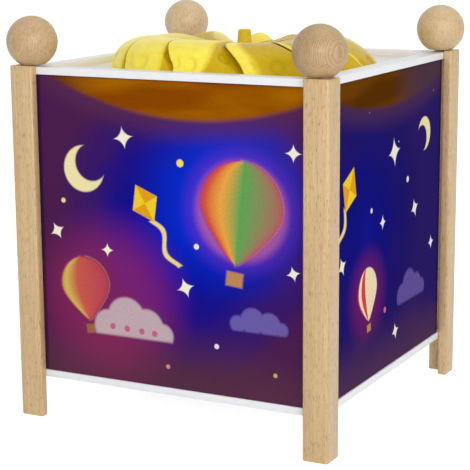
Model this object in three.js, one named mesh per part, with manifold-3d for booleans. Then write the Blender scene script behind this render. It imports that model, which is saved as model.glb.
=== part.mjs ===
// Night light lantern: a square box of lit picture panels between four beech corner posts.
// Inside it a picture drum under a vaned fan wheel hangs on a needle over the bulb. Warm air turns it.
// Millimetres, +Z up. The origin is on the floor, in the middle of the four feet.

import * as THREE from 'three';
import { mergeVertices } from 'three/addons/utils/BufferGeometryUtils.js';
import Module from 'manifold-3d';

const wasm = await Module();
wasm.setup();

// Clearances
const glueGap = 0.3;            // between pieces that are glued, screwed or pressed together
const runGap = 0.3;             // between pieces that slide or turn on each other
const drumGap = 9.6;            // between the foot of the fan's skirt and the panels
const cutOver = 1;              // overrun of a cutting body past the face that it leaves
const mergeReach = 0.0001;      // corners closer than this are one corner

// Corner posts
const boxWidth = 165;           // across the outer faces of the posts
const postHeight = 171.6;       // length of a post
const postLeg = 12.4;           // width of each outer face of a post
const postWall = 4.4;           // thickness of a leg of the L section
const postRound = 1.4;          // radius along the outer corner
const postTip = 0.9;            // radius along the free edges of the legs
const postBreak = 0.5;          // broken edge at the ends

// White boards
const boardThick = 3.4;
const boardRound = 0.5;         // radius of the boards' corners
const boardHeight = 19.6;       // floor to the underside of the base board
const frameDrop = 0.7;          // top of the frame below the ends of the posts
const frameBar = 8.4;           // width of a bar of the top frame
const frameInnerRound = 3;      // radius in the corners of the top opening

// Picture panels
const panelThick = 1;
const panelSetback = 1.2;       // face of a panel behind the edges of the boards
const panelTuck = 1.7;          // edge of a panel hidden behind a post
const panelBite = 1.3;          // depth of a panel in its grooves

// Balls and their screws
const ballDiameter = 24.2;
const ballInset = 8;            // middle of a ball from the outer faces of its post
const ballFlatWidth = 11.7;     // seat turned flat under a ball
const screwShank = 2.4;         // diameter
const screwHead = 4.6;          // diameter of the countersunk head
const screwHeadDepth = 1.2;
const screwLength = 12;
const screwTip = 2;             // length of the pointed end
const screwSlot = 0.7;          // width and depth of the driving slot

// Fan wheel, heights counted from the top of the frame
const fanWall = 0.9;
const skirtDraft = 0.5;         // the skirt is this much smaller in radius at its top
const skirtDrop = 28.4;         // foot of the skirt
const rimDrop = 5.4;            // rim that the vanes spring from
const rimTuck = 1.4;            // vane ends let into the skirt
const crestRise = 11.1;         // highest line of a vane
const crestShare = 0.697;       // where that line lies, of the skirt's radius
const hubRise = 4.6;            // flat of the hub
const hubRadius = 9.6;
const hubBite = 1;              // vane ends let into the hub
const bossRise = 14.4;          // top of the hub's boss
const bossRootRadius = 3.8;
const bossTipRadius = 3.1;
const bossFillet = 1.2;
const vaneStartShare = 0.9;     // slot line of the first vane, of the vane pitch
const vaneTuckShare = 0.02;     // low edge past the slot line, of the vane pitch
const leanPower = 1.7;          // moves the widest overlap towards the rim
const valleyPower = 1.5;        // roundness of the low edge from hub to rim
const creasePower = 3;          // how late the crease turns from its place at the hub to that at the rim

// Each vane is bent by hand, so each has an entry in these tables, anticlockwise from above: its lift,
// how far its free edge reaches over the vane before it, how much of the lift that edge keeps, the place
// of its crease on the open width at the hub and at the rim, how steeply it falls behind the crease, and
// how square its outer shoulder is.
const vaneLiftShares = [0.92, 0.9, 0.75, 0.8, 0.9, 0.9, 0.97, 1.04, 1.06, 0.95, 0.93, 0.93];
const vaneOverlapShares = [0.36, 0.36, 0.36, 0.62, 0.75, 0.36, 0.36, 0.36, 0.42, 0.36, 0.36, 0.36];
const vaneEdgeShares = [1, 1, 1, 0.5, 0.35, 1, 1, 1, 1, 1, 1, 1];
const creaseHubShares = [0.9, 0.5, 0.28, 0.33, 0.44, 0.9, 0.9, 0.92, 0.95, 0.9, 0.9, 0.9];
const creaseRimShares = [0.93, 0.5, 0.3, 0.25, 0.3, 0.8, 0.9, 0.76, 0.31, 0.93, 0.93, 0.93];
const vaneFallPowers = [1, 1.4, 2.6, 6, 1.8, 1, 1, 1, 1, 1, 1, 1];
const vaneShoulderPowers = [1.5, 1.6, 1.9, 2.2, 2.2, 2.4, 2.4, 2.4, 2.4, 2.2, 2, 1.6];
const vaneCount = vaneLiftShares.length;

// Picture drum
const filmWall = 0.6;
const filmTuck = 9;             // top of the film inside the skirt
const filmFloorGap = 9;         // foot of the film above the base board
const hoopWidth = 1.8;
const hoopHeight = 3.6;

// Pivot cup and needle
const cupRadius = 1.9;
const cupHeight = 5;
const cupMouthRadius = 1.4;
const cupRecess = 3.2;
const needleRadius = 0.75;
const needlePoint = 3;          // length of its cone
const wireShare = 0.2566;       // middle of the wire in the room from the bulb to the needle's tip
const ferruleRadius = 3.2;
const ferruleBelow = 2.6;       // ferrule below the middle of the wire
const ferruleAbove = 7.4;       // and above it
const ferruleBreak = 0.6;

// Wire arch and its sockets
const wireDiameter = 2.4;
const archHalfSpan = 32;
const archFoot = 1;             // end of the wire above the base board
const socketFlangeRadius = 4;
const socketFlange = 1;
const socketRadius = 2.7;
const socketHeight = 9;
const socketFloor = 0.6;        // closed end under the wire

// Lampholder
const holderPad = 3.5;          // thickness of the mounting pad
const padRadius = 17;
const earReach = 22;            // fixing screws from the middle
const earRadius = 4.8;
const padBore = 4.5;            // radius of the wire hole through the pad
const holderHeight = 43;        // pad's underside to the rim of the holder
const holderFootRadius = 13.2;
const holderRimRadius = 12.4;
const holderWall = 2.6;
const holderLip = 0.9;
const holderLipHeight = 3;
const holderWeb = 3;            // thickness of the web that carries the contact
const holderWebRise = 15;       // web above the pad
const holderWebBore = 2;        // radius of the wire hole through the web
const gripDepth = 0.8;
const gripStart = 3;            // grip ribs above the foot of the shell
const gripLength = 20;
const gripCount = 18;
const threadPitch = 2.8;
const threadDepth = 0.45;
const threadTurns = 5;
const sleeveRadius = 7.5;       // mean inner radius of the thread sleeve
const sleeveWall = 0.5;
const contactWidth = 4;
const contactThick = 0.5;
const contactLength = 11;
const contactRise = 2.4;
const holderScrewHead = 5.6;    // diameter
const holderScrewHeadHeight = 2;
const holderScrewShank = 2.8;
const holderScrewBite = 2.8;    // depth in the base board

// Bulb
const bulbShare = 0.58;         // length of the bulb in the room from its contact to the needle's tip
const globeShare = 0.2885;      // radius of the globe, of the bulb's length
const capLength = 17;
const capRadius = 6.75;         // mean radius of the threaded cap
const capFootRadius = 3.6;
const capTaper = 2.4;
const capRim = 1.2;             // plain rim above the thread
const capSeat = 4;              // depth of the glass in the cap
const glassWall = 0.8;
const glassNeckRadius = 5.8;
const neckLength = 6;           // straight neck above the cap
const tipRadius = 2.4;
const tipHeight = 1.4;

// Holes of the base board
const ventCount = 12;
const ventRadius = 6;
const ventCircle = 50;          // radius of the ring of vents
const wireHoleRadius = 4.5;
const grommetReach = 32;        // cord grommet behind the middle
const grommetBore = 3.2;        // radius
const grommetNeck = 4.9;        // radius in the board
const grommetFlange = 6.6;      // radius
const grommetLip = 1.4;         // thickness of each flange

// Facets
const roundFacets = 24;
const fineFacets = 72;
const ballFacets = 24;
const ballRings = 11;
const wireFacets = 8;
const archSteps = 64;
const edgeFacets = 3;

// Heights and places that follow from the sizes above
const halfWidth = boxWidth / 2;
const quarterTurn = Math.PI / 2;
const edgeInset = postWall + glueGap;                  // edge of a board from the outer faces
const boardHalf = halfWidth - edgeInset;
const openingHalf = boardHalf - frameBar;
const baseTop = boardHeight + boardThick;
const frameTop = postHeight - frameDrop;
const frameUnder = frameTop - boardThick;
const panelFace = edgeInset + panelSetback;            // face of a panel from the outer faces
const panelHalfSpan = halfWidth - postLeg + panelTuck;
const panelLow = baseTop - panelBite + glueGap;
const panelHigh = frameUnder + panelBite - glueGap;
const fanRadius = halfWidth - panelFace - panelThick - drumGap;   // outside of the skirt at its foot

// Geometry helpers

// A solid of revolution. The profile of [radius, height] runs up the outside and down the inside.
function turned(profile, facets = roundFacets) {
  const points = profile.map(([radius, height]) => new THREE.Vector2(radius, height));
  return new THREE.LatheGeometry(points, facets).rotateX(quarterTurn);
}

function cylinder(radius, low, high, facets = roundFacets) {
  const geometry = new THREE.CylinderGeometry(radius, radius, high - low, facets);
  return geometry.rotateX(quarterTurn).translate(0, 0, (low + high) / 2);
}

function block([lowX, lowY, lowZ], [highX, highY, highZ]) {
  const geometry = new THREE.BoxGeometry(highX - lowX, highY - lowY, highZ - lowZ);
  return geometry.translate((lowX + highX) / 2, (lowY + highY) / 2, (lowZ + highZ) / 2);
}

function extruded(shape, low, high, options = {}) {
  const settings = { depth: high - low, bevelEnabled: false, curveSegments: edgeFacets, ...options };
  return new THREE.ExtrudeGeometry(shape, settings).translate(0, 0, low);
}

function toSolid(geometry) {
  const plain = geometry.clone();
  plain.deleteAttribute('normal');
  plain.deleteAttribute('uv');
  const merged = mergeVertices(plain, mergeReach);
  const corners = merged.index.array;
  const kept = [];
  for (let start = 0; start < corners.length; start += 3) {
    const [a, b, c] = corners.slice(start, start + 3);
    if (a !== b && b !== c && c !== a) kept.push(a, b, c);
  }
  const vertProperties = new Float32Array(merged.attributes.position.array);
  return new wasm.Manifold(new wasm.Mesh({ numProp: 3, vertProperties, triVerts: new Uint32Array(kept) }));
}

function toGeometry(solid) {
  const mesh = solid.getMesh();
  const geometry = new THREE.BufferGeometry();
  geometry.setAttribute('position', new THREE.BufferAttribute(new Float32Array(mesh.vertProperties), 3));
  geometry.setIndex(new THREE.BufferAttribute(new Uint32Array(mesh.triVerts), 1));
  geometry.computeVertexNormals();
  return geometry;
}

function cut(geometry, tools) {
  return toGeometry(tools.reduce((solid, tool) => solid.subtract(toSolid(tool)), toSolid(geometry)));
}

function joined(pieces) {
  return toGeometry(pieces.map(toSolid).reduce((solid, piece) => solid.add(piece)));
}

function roundedSquare(half, radius) {
  const shape = new THREE.Path();
  const flat = half - radius;
  for (let corner = 0; corner < 4; corner += 1) {
    const start = corner * quarterTurn;
    const turn = new THREE.Vector2(flat, flat).rotateAround(new THREE.Vector2(), start);
    shape.absarc(turn.x, turn.y, radius, start, start + quarterTurn, false);
  }
  shape.closePath();
  return shape;
}

// Materials
const plainMaterial = (color, roughness, metalness = 0) =>
  new THREE.MeshStandardMaterial({ color, roughness, metalness });
const beech = plainMaterial('#d6b487', 0.6);
const whiteLacquer = plainMaterial('#f4f5f7', 0.45);
const picturePlastic = plainMaterial('#2a1f9c', 0.5);
const yellowPlastic = plainMaterial('#e3cb2c', 0.3);
const filmPlastic = plainMaterial('#2c2ca8', 0.4);
const whitePlastic = plainMaterial('#eeeeea', 0.4);
const brass = plainMaterial('#c8a24a', 0.3, 1);
const steel = plainMaterial('#b9bcc0', 0.35, 1);
const opalGlass = plainMaterial('#f6f4ee', 0.2);
const blackGlass = plainMaterial('#17171a', 0.3);
const rubber = plainMaterial('#2b2b2d', 0.8);

// Parts that repeat at the corners are drawn with the outer corner of the post at the origin,
// its two outer faces along +X and +Y.

function postGeometry() {
  const shape = new THREE.Shape();
  shape.moveTo(postRound, 0);
  shape.lineTo(postLeg - postTip, 0);
  shape.absarc(postLeg - postTip, postTip, postTip, -quarterTurn, 0, false);
  shape.lineTo(postLeg, postWall);
  shape.lineTo(postWall, postWall);
  shape.lineTo(postWall, postLeg);
  shape.lineTo(postTip, postLeg);
  shape.absarc(postTip, postLeg - postTip, postTip, quarterTurn, 2 * quarterTurn, false);
  shape.lineTo(0, postRound);
  shape.absarc(postRound, postRound, postRound, 2 * quarterTurn, 3 * quarterTurn, false);
  return extruded(shape, postBreak, postHeight - postBreak, {
    bevelEnabled: true,
    bevelThickness: postBreak,
    bevelSize: postBreak,
    bevelOffset: -postBreak,
    bevelSegments: 1,
  });
}

const ballRadius = ballDiameter / 2;
const ballFlatDrop = Math.sqrt(ballRadius ** 2 - (ballFlatWidth / 2) ** 2);
const ballSeat = postHeight + glueGap;
const ballHeight = ballSeat + ballFlatDrop;
const screwLow = frameUnder;
const screwHigh = screwLow + screwLength;

// A turned ball with a flat seat and the pilot hole of its screw
function ballGeometry() {
  const boreRadius = screwShank / 2 + glueGap;
  const boreTop = screwHigh + glueGap;
  const flatAngle = -Math.acos(ballFlatWidth / ballDiameter);
  const profile = [[0, boreTop], [boreRadius, boreTop], [boreRadius, ballSeat]];
  for (let ring = 0; ring < ballRings; ring += 1) {
    const angle = flatAngle + (quarterTurn - flatAngle) * ring / ballRings;
    profile.push([ballRadius * Math.cos(angle), ballHeight + ballRadius * Math.sin(angle)]);
  }
  profile.push([0, ballHeight + ballRadius]);
  return turned(profile, ballFacets);
}

// A countersunk screw, head down, that pulls a ball onto its post
function ballScrewGeometry() {
  const shank = screwShank / 2;
  const body = turned([
    [0, screwLow], [screwHead / 2, screwLow], [shank, screwLow + screwHeadDepth],
    [shank, screwHigh - screwTip], [0, screwHigh],
  ], wireFacets * 2);
  const slot = block(
    [-screwHead, -screwSlot / 2, screwLow - cutOver],
    [screwHead, screwSlot / 2, screwLow + screwSlot],
  );
  return cut(body, [slot]);
}

const cornerPlaces = [[-1, -1], [1, -1], [1, 1], [-1, 1]];
const sideTurns = cornerPlaces.map((place, side) => side * quarterTurn);

// A groove for each panel, cut from a board between the given heights
function panelGrooves(low, high) {
  const outer = -halfWidth + panelFace - glueGap;
  const inner = -halfWidth + panelFace + panelThick + glueGap;
  const span = panelHalfSpan + glueGap;
  return sideTurns.map((turn) => block([-span, outer, low], [span, inner, high]).rotateZ(turn));
}

// The open top frame, grooved below, with a countersunk hole under each ball
function topFrameGeometry() {
  const shape = new THREE.Shape(roundedSquare(boardHalf, boardRound).getPoints(edgeFacets));
  shape.holes.push(new THREE.Path(roundedSquare(openingHalf, frameInnerRound).getPoints(edgeFacets)));
  const shank = screwShank / 2 + glueGap;
  const head = screwHead / 2 + glueGap;
  const hole = turned([
    [0, frameUnder - cutOver], [head, frameUnder - cutOver], [head, frameUnder],
    [shank, frameUnder + screwHeadDepth], [shank, frameTop + cutOver], [0, frameTop + cutOver],
  ], wireFacets * 2);
  const reach = halfWidth - ballInset;
  const holes = cornerPlaces.map(([x, y]) => hole.clone().translate(x * reach, y * reach, 0));
  return cut(extruded(shape, frameUnder, frameTop), [
    ...panelGrooves(frameUnder - cutOver, frameUnder + panelBite), ...holes,
  ]);
}

const socketPlaces = [[-archHalfSpan, 0], [archHalfSpan, 0]];
const earAngle = quarterTurn / 2;
const earPlaces = [1, -1].map((side) => [
  side * earReach * Math.cos(earAngle), side * earReach * Math.sin(earAngle),
]);

// The base board: grooves, a ring of air vents, and the holes of the lampholder, sockets and cord grommet
function baseBoardGeometry() {
  const shape = new THREE.Shape(roundedSquare(boardHalf, boardRound).getPoints(edgeFacets));
  const hole = (radius, x, y, facets) =>
    cylinder(radius, boardHeight - cutOver, baseTop + cutOver, facets).translate(x, y, 0);
  const vents = Array.from({ length: ventCount }, (_, index) => {
    const angle = 2 * Math.PI * (index + 1 / 2) / ventCount;
    return hole(ventRadius, ventCircle * Math.cos(angle), ventCircle * Math.sin(angle), wireFacets * 2);
  });
  return cut(extruded(shape, boardHeight, baseTop), [
    ...panelGrooves(baseTop - panelBite, baseTop + cutOver), ...vents,
    hole(wireHoleRadius, 0, 0, wireFacets * 2),
    hole(grommetNeck + glueGap, 0, grommetReach, wireFacets * 2),
    ...socketPlaces.map(([x, y]) => hole(socketRadius + glueGap, x, y, wireFacets * 2)),
    ...earPlaces.map(([x, y]) => hole(holderScrewShank / 2 + glueGap, x, y, wireFacets)),
  ]);
}

function panelGeometry() {
  const face = -halfWidth + panelFace;
  return block([-panelHalfSpan, face, panelLow], [panelHalfSpan, face + panelThick, panelHigh]);
}

// Fan wheel: a skirt, a hub with a hollow boss, and vanes like overlapping scoops.
// Each vane is low along the edge that lies under its neighbour, and rises to a free edge over an air slot.
const skirtFoot = frameTop - skirtDrop;
const rimHeight = frameTop - rimDrop;
const crestHeight = frameTop + crestRise;
const hubHeight = frameTop + hubRise;
const bossTop = frameTop + bossRise;
const crestRadius = fanRadius * crestShare;
const skirtTopRadius = fanRadius - skirtDraft;
const rimRadius = skirtTopRadius - fanWall / 2;
const hubEdge = hubRadius - hubBite;
const vanePitch = 2 * Math.PI / vaneCount;
const crestSteps = 5;
const shoulderSteps = 5;
const creaseSteps = 3;
const fallSteps = 4;

const shareOfVane = (radius) => (radius - hubEdge) / (rimRadius - hubEdge);

// Radius, low height and high height of each row of a vane, from the hub to the rim
function vaneRows(liftShare, shoulderPower) {
  const rows = [];
  for (let step = 0; step <= crestSteps; step += 1) {
    const radius = hubEdge + (crestRadius - hubEdge) * step / crestSteps;
    const high = hubHeight + (crestHeight - hubHeight) * Math.sin(quarterTurn * step / crestSteps);
    rows.push({ radius, high });
  }
  for (let step = 1; step <= shoulderSteps; step += 1) {
    const angle = quarterTurn * step / shoulderSteps;
    const across = Math.sin(angle) ** (2 / shoulderPower);
    const up = Math.max(Math.cos(angle), 0) ** (2 / shoulderPower);
    const radius = crestRadius + (rimRadius - crestRadius) * across;
    rows.push({ radius, high: rimHeight + (crestHeight - rimHeight) * up });
  }
  rows.forEach((row) => {
    const fall = Math.max(1 - shareOfVane(row.radius) ** valleyPower, 0) ** (1 / valleyPower);
    row.low = rimHeight + (hubHeight - rimHeight) * fall;
    row.high = row.low + (row.high - row.low) * liftShare;
  });
  rows.push({ radius: rimRadius, low: rimHeight - rimTuck, high: rimHeight - rimTuck });
  return rows;
}

// Middle surface of one vane as rows of points
function vaneGrid(vane) {
  const edgeShare = vaneEdgeShares[vane];
  const creaseTurn = creaseRimShares[vane] - creaseHubShares[vane];
  return vaneRows(vaneLiftShares[vane], vaneShoulderPowers[vane]).map(({ radius, low, high }) => {
    const share = Math.min(Math.max(shareOfVane(radius), 0), 1);
    const lean = vaneOverlapShares[vane] * Math.sin(Math.PI * share ** leanPower);
    const width = 1 + lean + vaneTuckShare;
    const crease = (creaseHubShares[vane] + creaseTurn * share ** creasePower) / width;
    const columns = [];
    for (let step = 0; step <= creaseSteps; step += 1) columns.push(crease * step / creaseSteps);
    for (let step = 1; step <= fallSteps; step += 1) columns.push(crease + (1 - crease) * step / fallSteps);
    return columns.map((column) => {
      const rise = edgeShare + (1 - edgeShare) * Math.sin(quarterTurn * column / crease);
      const fall = Math.max((1 - column) / (1 - crease), 0) ** vaneFallPowers[vane];
      const lift = column <= crease ? rise : fall;
      const angle = vanePitch * (vane + vaneStartShare - lean + column * width);
      return new THREE.Vector3(radius * Math.cos(angle), radius * Math.sin(angle), low + (high - low) * lift);
    });
  });
}

// A closed sheet of even wall around a grid of points
function sheetGeometry(grid, wall) {
  const rows = grid.length;
  const columns = grid[0].length;
  const held = (place, count) => Math.min(Math.max(place, 0), count - 1);
  const at = (row, column) => grid[held(row, rows)][held(column, columns)];
  const points = [];
  [1, -1].forEach((side) => {
    for (let row = 0; row < rows; row += 1) {
      for (let column = 0; column < columns; column += 1) {
        const along = at(row + 1, column).clone().sub(at(row - 1, column));
        const across = at(row, column + 1).clone().sub(at(row, column - 1));
        const normal = along.cross(across).normalize();
        points.push(at(row, column).clone().addScaledVector(normal, side * wall / 2));
      }
    }
  });
  const index = [];
  const under = rows * columns;
  const quad = (a, b, c, d) => index.push(a, b, c, a, c, d);
  for (let row = 0; row < rows - 1; row += 1) {
    for (let column = 0; column < columns - 1; column += 1) {
      const a = row * columns + column;
      quad(a, a + columns, a + columns + 1, a + 1);
      quad(under + a, under + a + 1, under + a + columns + 1, under + a + columns);
    }
    const first = row * columns;
    const last = first + columns - 1;
    quad(first, under + first, under + first + columns, first + columns);
    quad(last, last + columns, under + last + columns, under + last);
  }
  for (let column = 0; column < columns - 1; column += 1) {
    const far = (rows - 1) * columns + column;
    quad(column, column + 1, under + column + 1, under + column);
    quad(far, under + far, under + far + 1, far + 1);
  }
  const geometry = new THREE.BufferGeometry().setFromPoints(points);
  geometry.setIndex(index);
  return geometry;
}

function fanWheelGeometry() {
  const skirt = turned([
    [fanRadius - fanWall, skirtFoot], [fanRadius, skirtFoot], [skirtTopRadius, rimHeight],
    [skirtTopRadius - fanWall, rimHeight], [fanRadius - fanWall, skirtFoot],
  ], fineFacets);
  const hub = turned([
    [0, bossTop - fanWall], [bossTipRadius - fanWall, bossTop - fanWall],
    [bossRootRadius - fanWall, hubHeight - fanWall / 2], [hubRadius, hubHeight - fanWall / 2],
    [hubRadius, hubHeight + fanWall / 2], [bossRootRadius + bossFillet, hubHeight + fanWall / 2],
    [bossRootRadius, hubHeight + fanWall / 2 + bossFillet], [bossTipRadius, bossTop - bossFillet / 2],
    [bossTipRadius - bossFillet / 2, bossTop], [0, bossTop],
  ]);
  const vanes = vaneLiftShares.map((share, vane) => sheetGeometry(vaneGrid(vane), fanWall));
  return joined([skirt, hub, ...vanes]);
}

// Picture drum and the hoop that keeps its foot round
const filmRadius = fanRadius - fanWall - runGap;
const filmHigh = skirtFoot + filmTuck;
const filmLow = baseTop + filmFloorGap;
const hoopRadius = filmRadius - filmWall - glueGap;

function ringGeometry(outer, wall, low, high) {
  const inner = outer - wall;
  return turned([[inner, low], [outer, low], [outer, high], [inner, high], [inner, low]], fineFacets);
}

// Pivot cup in the boss, and the needle whose point it rests on
const cupTop = bossTop - fanWall - glueGap;
const cupLow = cupTop - cupHeight;
const cupApex = cupLow + cupRecess;
const needleTip = cupApex - runGap;

// Heights of the lampholder and of the bulb in it, and the wire between the bulb and the needle's tip
const padLow = baseTop + glueGap / 2;
const padTop = padLow + holderPad;
const shellLow = padTop + glueGap / 2;
const holderTop = baseTop + holderHeight;
const webLow = shellLow + holderWebRise;
const webTop = webLow + holderWeb;
const shellBore = holderRimRadius - holderWall;
const bulbFoot = webTop + contactRise + runGap;
const bulbLength = (needleTip - bulbFoot) * bulbShare;            // contact to the top of the glass
const bulbRadius = bulbLength * globeShare;
const glassTop = bulbFoot + bulbLength;
const wireTop = glassTop + (needleTip - glassTop) * wireShare;
const needleLow = wireTop + wireDiameter / 2 + glueGap;

function pivotCupGeometry() {
  return turned([
    [0, cupApex], [cupMouthRadius, cupLow], [cupRadius, cupLow], [cupRadius, cupTop], [0, cupTop],
  ]);
}

function needleGeometry() {
  return turned([
    [0, needleLow], [needleRadius, needleLow], [needleRadius, needleTip - needlePoint], [0, needleTip],
  ], wireFacets * 2);
}

function ferruleGeometry() {
  const low = wireTop - ferruleBelow;
  const high = wireTop + ferruleAbove;
  const body = turned([
    [0, low], [ferruleRadius, low], [ferruleRadius, high - ferruleBreak],
    [ferruleRadius - ferruleBreak, high], [0, high],
  ]);
  const boreRadius = wireDiameter / 2 + glueGap;
  const crossBore = new THREE.CylinderGeometry(boreRadius, boreRadius, 4 * ferruleRadius, wireFacets * 2);
  crossBore.rotateZ(quarterTurn).translate(0, 0, wireTop);
  return cut(body, [crossBore, cylinder(needleRadius + glueGap, wireTop, high + cutOver, wireFacets * 2)]);
}

// The wire arch over the bulb: two straight legs and a half round top
class ArchCurve extends THREE.Curve {
  constructor(halfSpan, foot, top) {
    super();
    Object.assign(this, { halfSpan, foot, top });
  }

  getPoint(share, target = new THREE.Vector3()) {
    const leg = this.top - this.halfSpan - this.foot;
    const arc = Math.PI * this.halfSpan;
    const travelled = share * (2 * leg + arc);
    if (travelled < leg) return target.set(-this.halfSpan, 0, this.foot + travelled);
    if (travelled > leg + arc) return target.set(this.halfSpan, 0, this.foot + 2 * leg + arc - travelled);
    const angle = Math.PI - (travelled - leg) / this.halfSpan;
    return target.set(this.halfSpan * Math.cos(angle), 0, this.foot + leg + this.halfSpan * Math.sin(angle));
  }
}

function wireArchGeometry() {
  const section = new THREE.Shape().absarc(0, 0, wireDiameter / 2, 0, 2 * Math.PI, false);
  const extrudePath = new ArchCurve(archHalfSpan, baseTop + archFoot, wireTop);
  const outline = new THREE.Shape(section.getPoints(wireFacets / 2).slice(0, -1));
  return new THREE.ExtrudeGeometry(outline, { steps: archSteps, bevelEnabled: false, extrudePath });
}

// A riveted socket that a leg of the arch plugs into
function socketGeometry() {
  const boreRadius = wireDiameter / 2 + runGap;
  const floor = baseTop + archFoot - runGap;
  const flangeLow = baseTop + glueGap / 2;
  return turned([
    [0, floor - socketFloor - boardThick / 2], [socketRadius, floor - socketFloor - boardThick / 2],
    [socketRadius, flangeLow], [socketFlangeRadius, flangeLow],
    [socketFlangeRadius, flangeLow + socketFlange], [socketRadius, flangeLow + socketFlange],
    [socketRadius, baseTop + socketHeight],
    [boreRadius, baseTop + socketHeight], [boreRadius, floor], [0, floor],
  ], wireFacets * 2);
}

// Lampholder: pad with two ears, ribbed shell, thread sleeve and centre contact

function holderPadGeometry() {
  const ears = earPlaces.map(([x, y]) => cylinder(earRadius, padLow, padTop).translate(x, y, 0));
  const bridge = block([-earReach, -earRadius, padLow], [earReach, earRadius, padTop]).rotateZ(earAngle);
  const body = joined([cylinder(padRadius, padLow, padTop, roundFacets * 2), bridge, ...ears]);
  const hole = (radius, x, y) =>
    cylinder(radius, padLow - cutOver, padTop + cutOver, wireFacets * 2).translate(x, y, 0);
  const screwHole = holderScrewShank / 2 + glueGap;
  return cut(body, [hole(padBore, 0, 0), ...earPlaces.map(([x, y]) => hole(screwHole, x, y))]);
}

function holderShellGeometry() {
  const shell = turned([
    [holderWebBore, webLow], [holderFootRadius - holderWall, webLow],
    [holderFootRadius - holderWall, shellLow], [holderFootRadius, shellLow],
    [holderRimRadius, holderTop - holderLipHeight],
    [holderRimRadius + holderLip, holderTop - holderLipHeight], [holderRimRadius + holderLip, holderTop],
    [shellBore, holderTop], [shellBore, webTop], [holderWebBore, webTop], [holderWebBore, webLow],
  ], roundFacets * 2);
  const outline = Array.from({ length: gripCount * 4 }, (_, index) => {
    const angle = 2 * Math.PI * index / (gripCount * 4);
    const radius = holderFootRadius + gripDepth * Math.cos(gripCount * angle);
    return new THREE.Vector2(radius * Math.cos(angle), radius * Math.sin(angle));
  });
  const band = new THREE.Shape(outline);
  band.holes.push(new THREE.Path().absarc(0, 0, holderFootRadius - holderWall / 2, 0, 2 * Math.PI, true));
  const gripLow = shellLow + gripStart;
  return joined([shell, extruded(band, gripLow, gripLow + gripLength, { curveSegments: roundFacets })]);
}

// Rings that stand for a rolled thread: [radius, height] from low to high
function rolledThread(radius, low) {
  const rings = [];
  for (let step = 0; step <= 2 * threadTurns; step += 1) {
    rings.push([radius + threadDepth * (step % 2 - 1 / 2), low + threadPitch * step / 2]);
  }
  return rings;
}

function threadSleeveGeometry() {
  const low = webTop + glueGap;
  const inner = rolledThread(sleeveRadius, low);
  const outer = inner.map(([radius, height]) => [radius + sleeveWall, height]);
  return turned([inner[0], ...outer, ...inner.reverse()]);
}

function centreContactGeometry() {
  const low = webTop + glueGap;
  const top = webTop + contactRise;
  const start = -contactLength / 2;
  const end = contactLength / 2;
  const shape = new THREE.Shape();
  shape.moveTo(start, low);
  shape.lineTo(start + contactLength / 3, low);
  shape.lineTo(0, top - contactThick);
  shape.lineTo(end - contactLength / 3, top - contactThick);
  shape.lineTo(end - contactLength / 3, top);
  shape.lineTo(-contactThick, top);
  shape.lineTo(start + contactLength / 3 - contactThick, low + contactThick);
  shape.lineTo(start, low + contactThick);
  return new THREE.ExtrudeGeometry(shape, { depth: contactWidth, bevelEnabled: false })
    .translate(0, 0, -contactWidth / 2).rotateX(quarterTurn);
}

function holderScrewGeometry() {
  const shank = holderScrewShank / 2;
  const head = holderScrewHead / 2;
  const seat = padTop + glueGap / 2;
  const top = seat + holderScrewHeadHeight;
  const body = turned([
    [0, baseTop - holderScrewBite], [shank, baseTop - holderScrewBite], [shank, seat],
    [head, seat], [head, seat + holderScrewHeadHeight / 2], [head - holderScrewHeadHeight / 3, top], [0, top],
  ], wireFacets * 2);
  return cut(body, [block([-head, -screwSlot / 2, top - screwSlot], [head, screwSlot / 2, top + cutOver])]);
}

// Bulb: opal glass globe on a threaded cap with a contact below
const capLow = bulbFoot + tipHeight;
const capTop = bulbFoot + capLength;
const glassLow = capTop - capSeat + glueGap;

function bulbGlassGeometry() {
  const middle = glassTop - bulbRadius;
  const neckTop = capTop + neckLength;
  const neckAngle = -Math.acos(glassNeckRadius / bulbRadius);
  const shell = (offset) => {
    const points = [[glassNeckRadius - offset, glassLow], [glassNeckRadius - offset, neckTop - offset]];
    const start = neckAngle * 3 / 4;
    const radius = bulbRadius - offset;
    for (let ring = 0; ring < ballRings; ring += 1) {
      const angle = start + (quarterTurn - start) * ring / ballRings;
      points.push([radius * Math.cos(angle), middle + radius * Math.sin(angle)]);
    }
    points.push([0, glassTop - offset]);
    return points;
  };
  return turned([...shell(0), ...shell(glassWall).reverse(), shell(0)[0]]);
}

function bulbCapGeometry() {
  const thread = rolledThread(capRadius, capLow + capTaper).filter(([, height]) => height < capTop - capRim);
  const seatRadius = glassNeckRadius + glueGap;
  return turned([
    [0, capLow], [capFootRadius, capLow], ...thread, [capRadius, capTop],
    [seatRadius, capTop], [seatRadius, capTop - capSeat], [0, capTop - capSeat],
  ]);
}

function bulbTipGeometry() {
  return turned([
    [0, bulbFoot], [tipRadius / 2, bulbFoot], [tipRadius, bulbFoot + tipHeight / 2],
    [tipRadius, capLow - glueGap], [0, capLow - glueGap],
  ], wireFacets * 2);
}

// Rubber grommet that clips into the base board where the cord comes in
function grommetGeometry() {
  const low = boardHeight - glueGap / 2;
  const high = baseTop + glueGap / 2;
  return turned([
    [grommetBore, low - grommetLip], [grommetFlange, low - grommetLip], [grommetFlange, low],
    [grommetNeck, low], [grommetNeck, high], [grommetFlange, high], [grommetFlange, high + grommetLip],
    [grommetBore, high + grommetLip], [grommetBore, low - grommetLip],
  ]);
}

// Assembly
const lantern = new THREE.Group();

function addMesh(parent, name, geometry, material, place = [0, 0, 0], turn = 0) {
  const mesh = new THREE.Mesh(geometry, material);
  mesh.name = name;
  mesh.position.set(...place);
  mesh.rotation.z = turn;
  parent.add(mesh);
}

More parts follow.
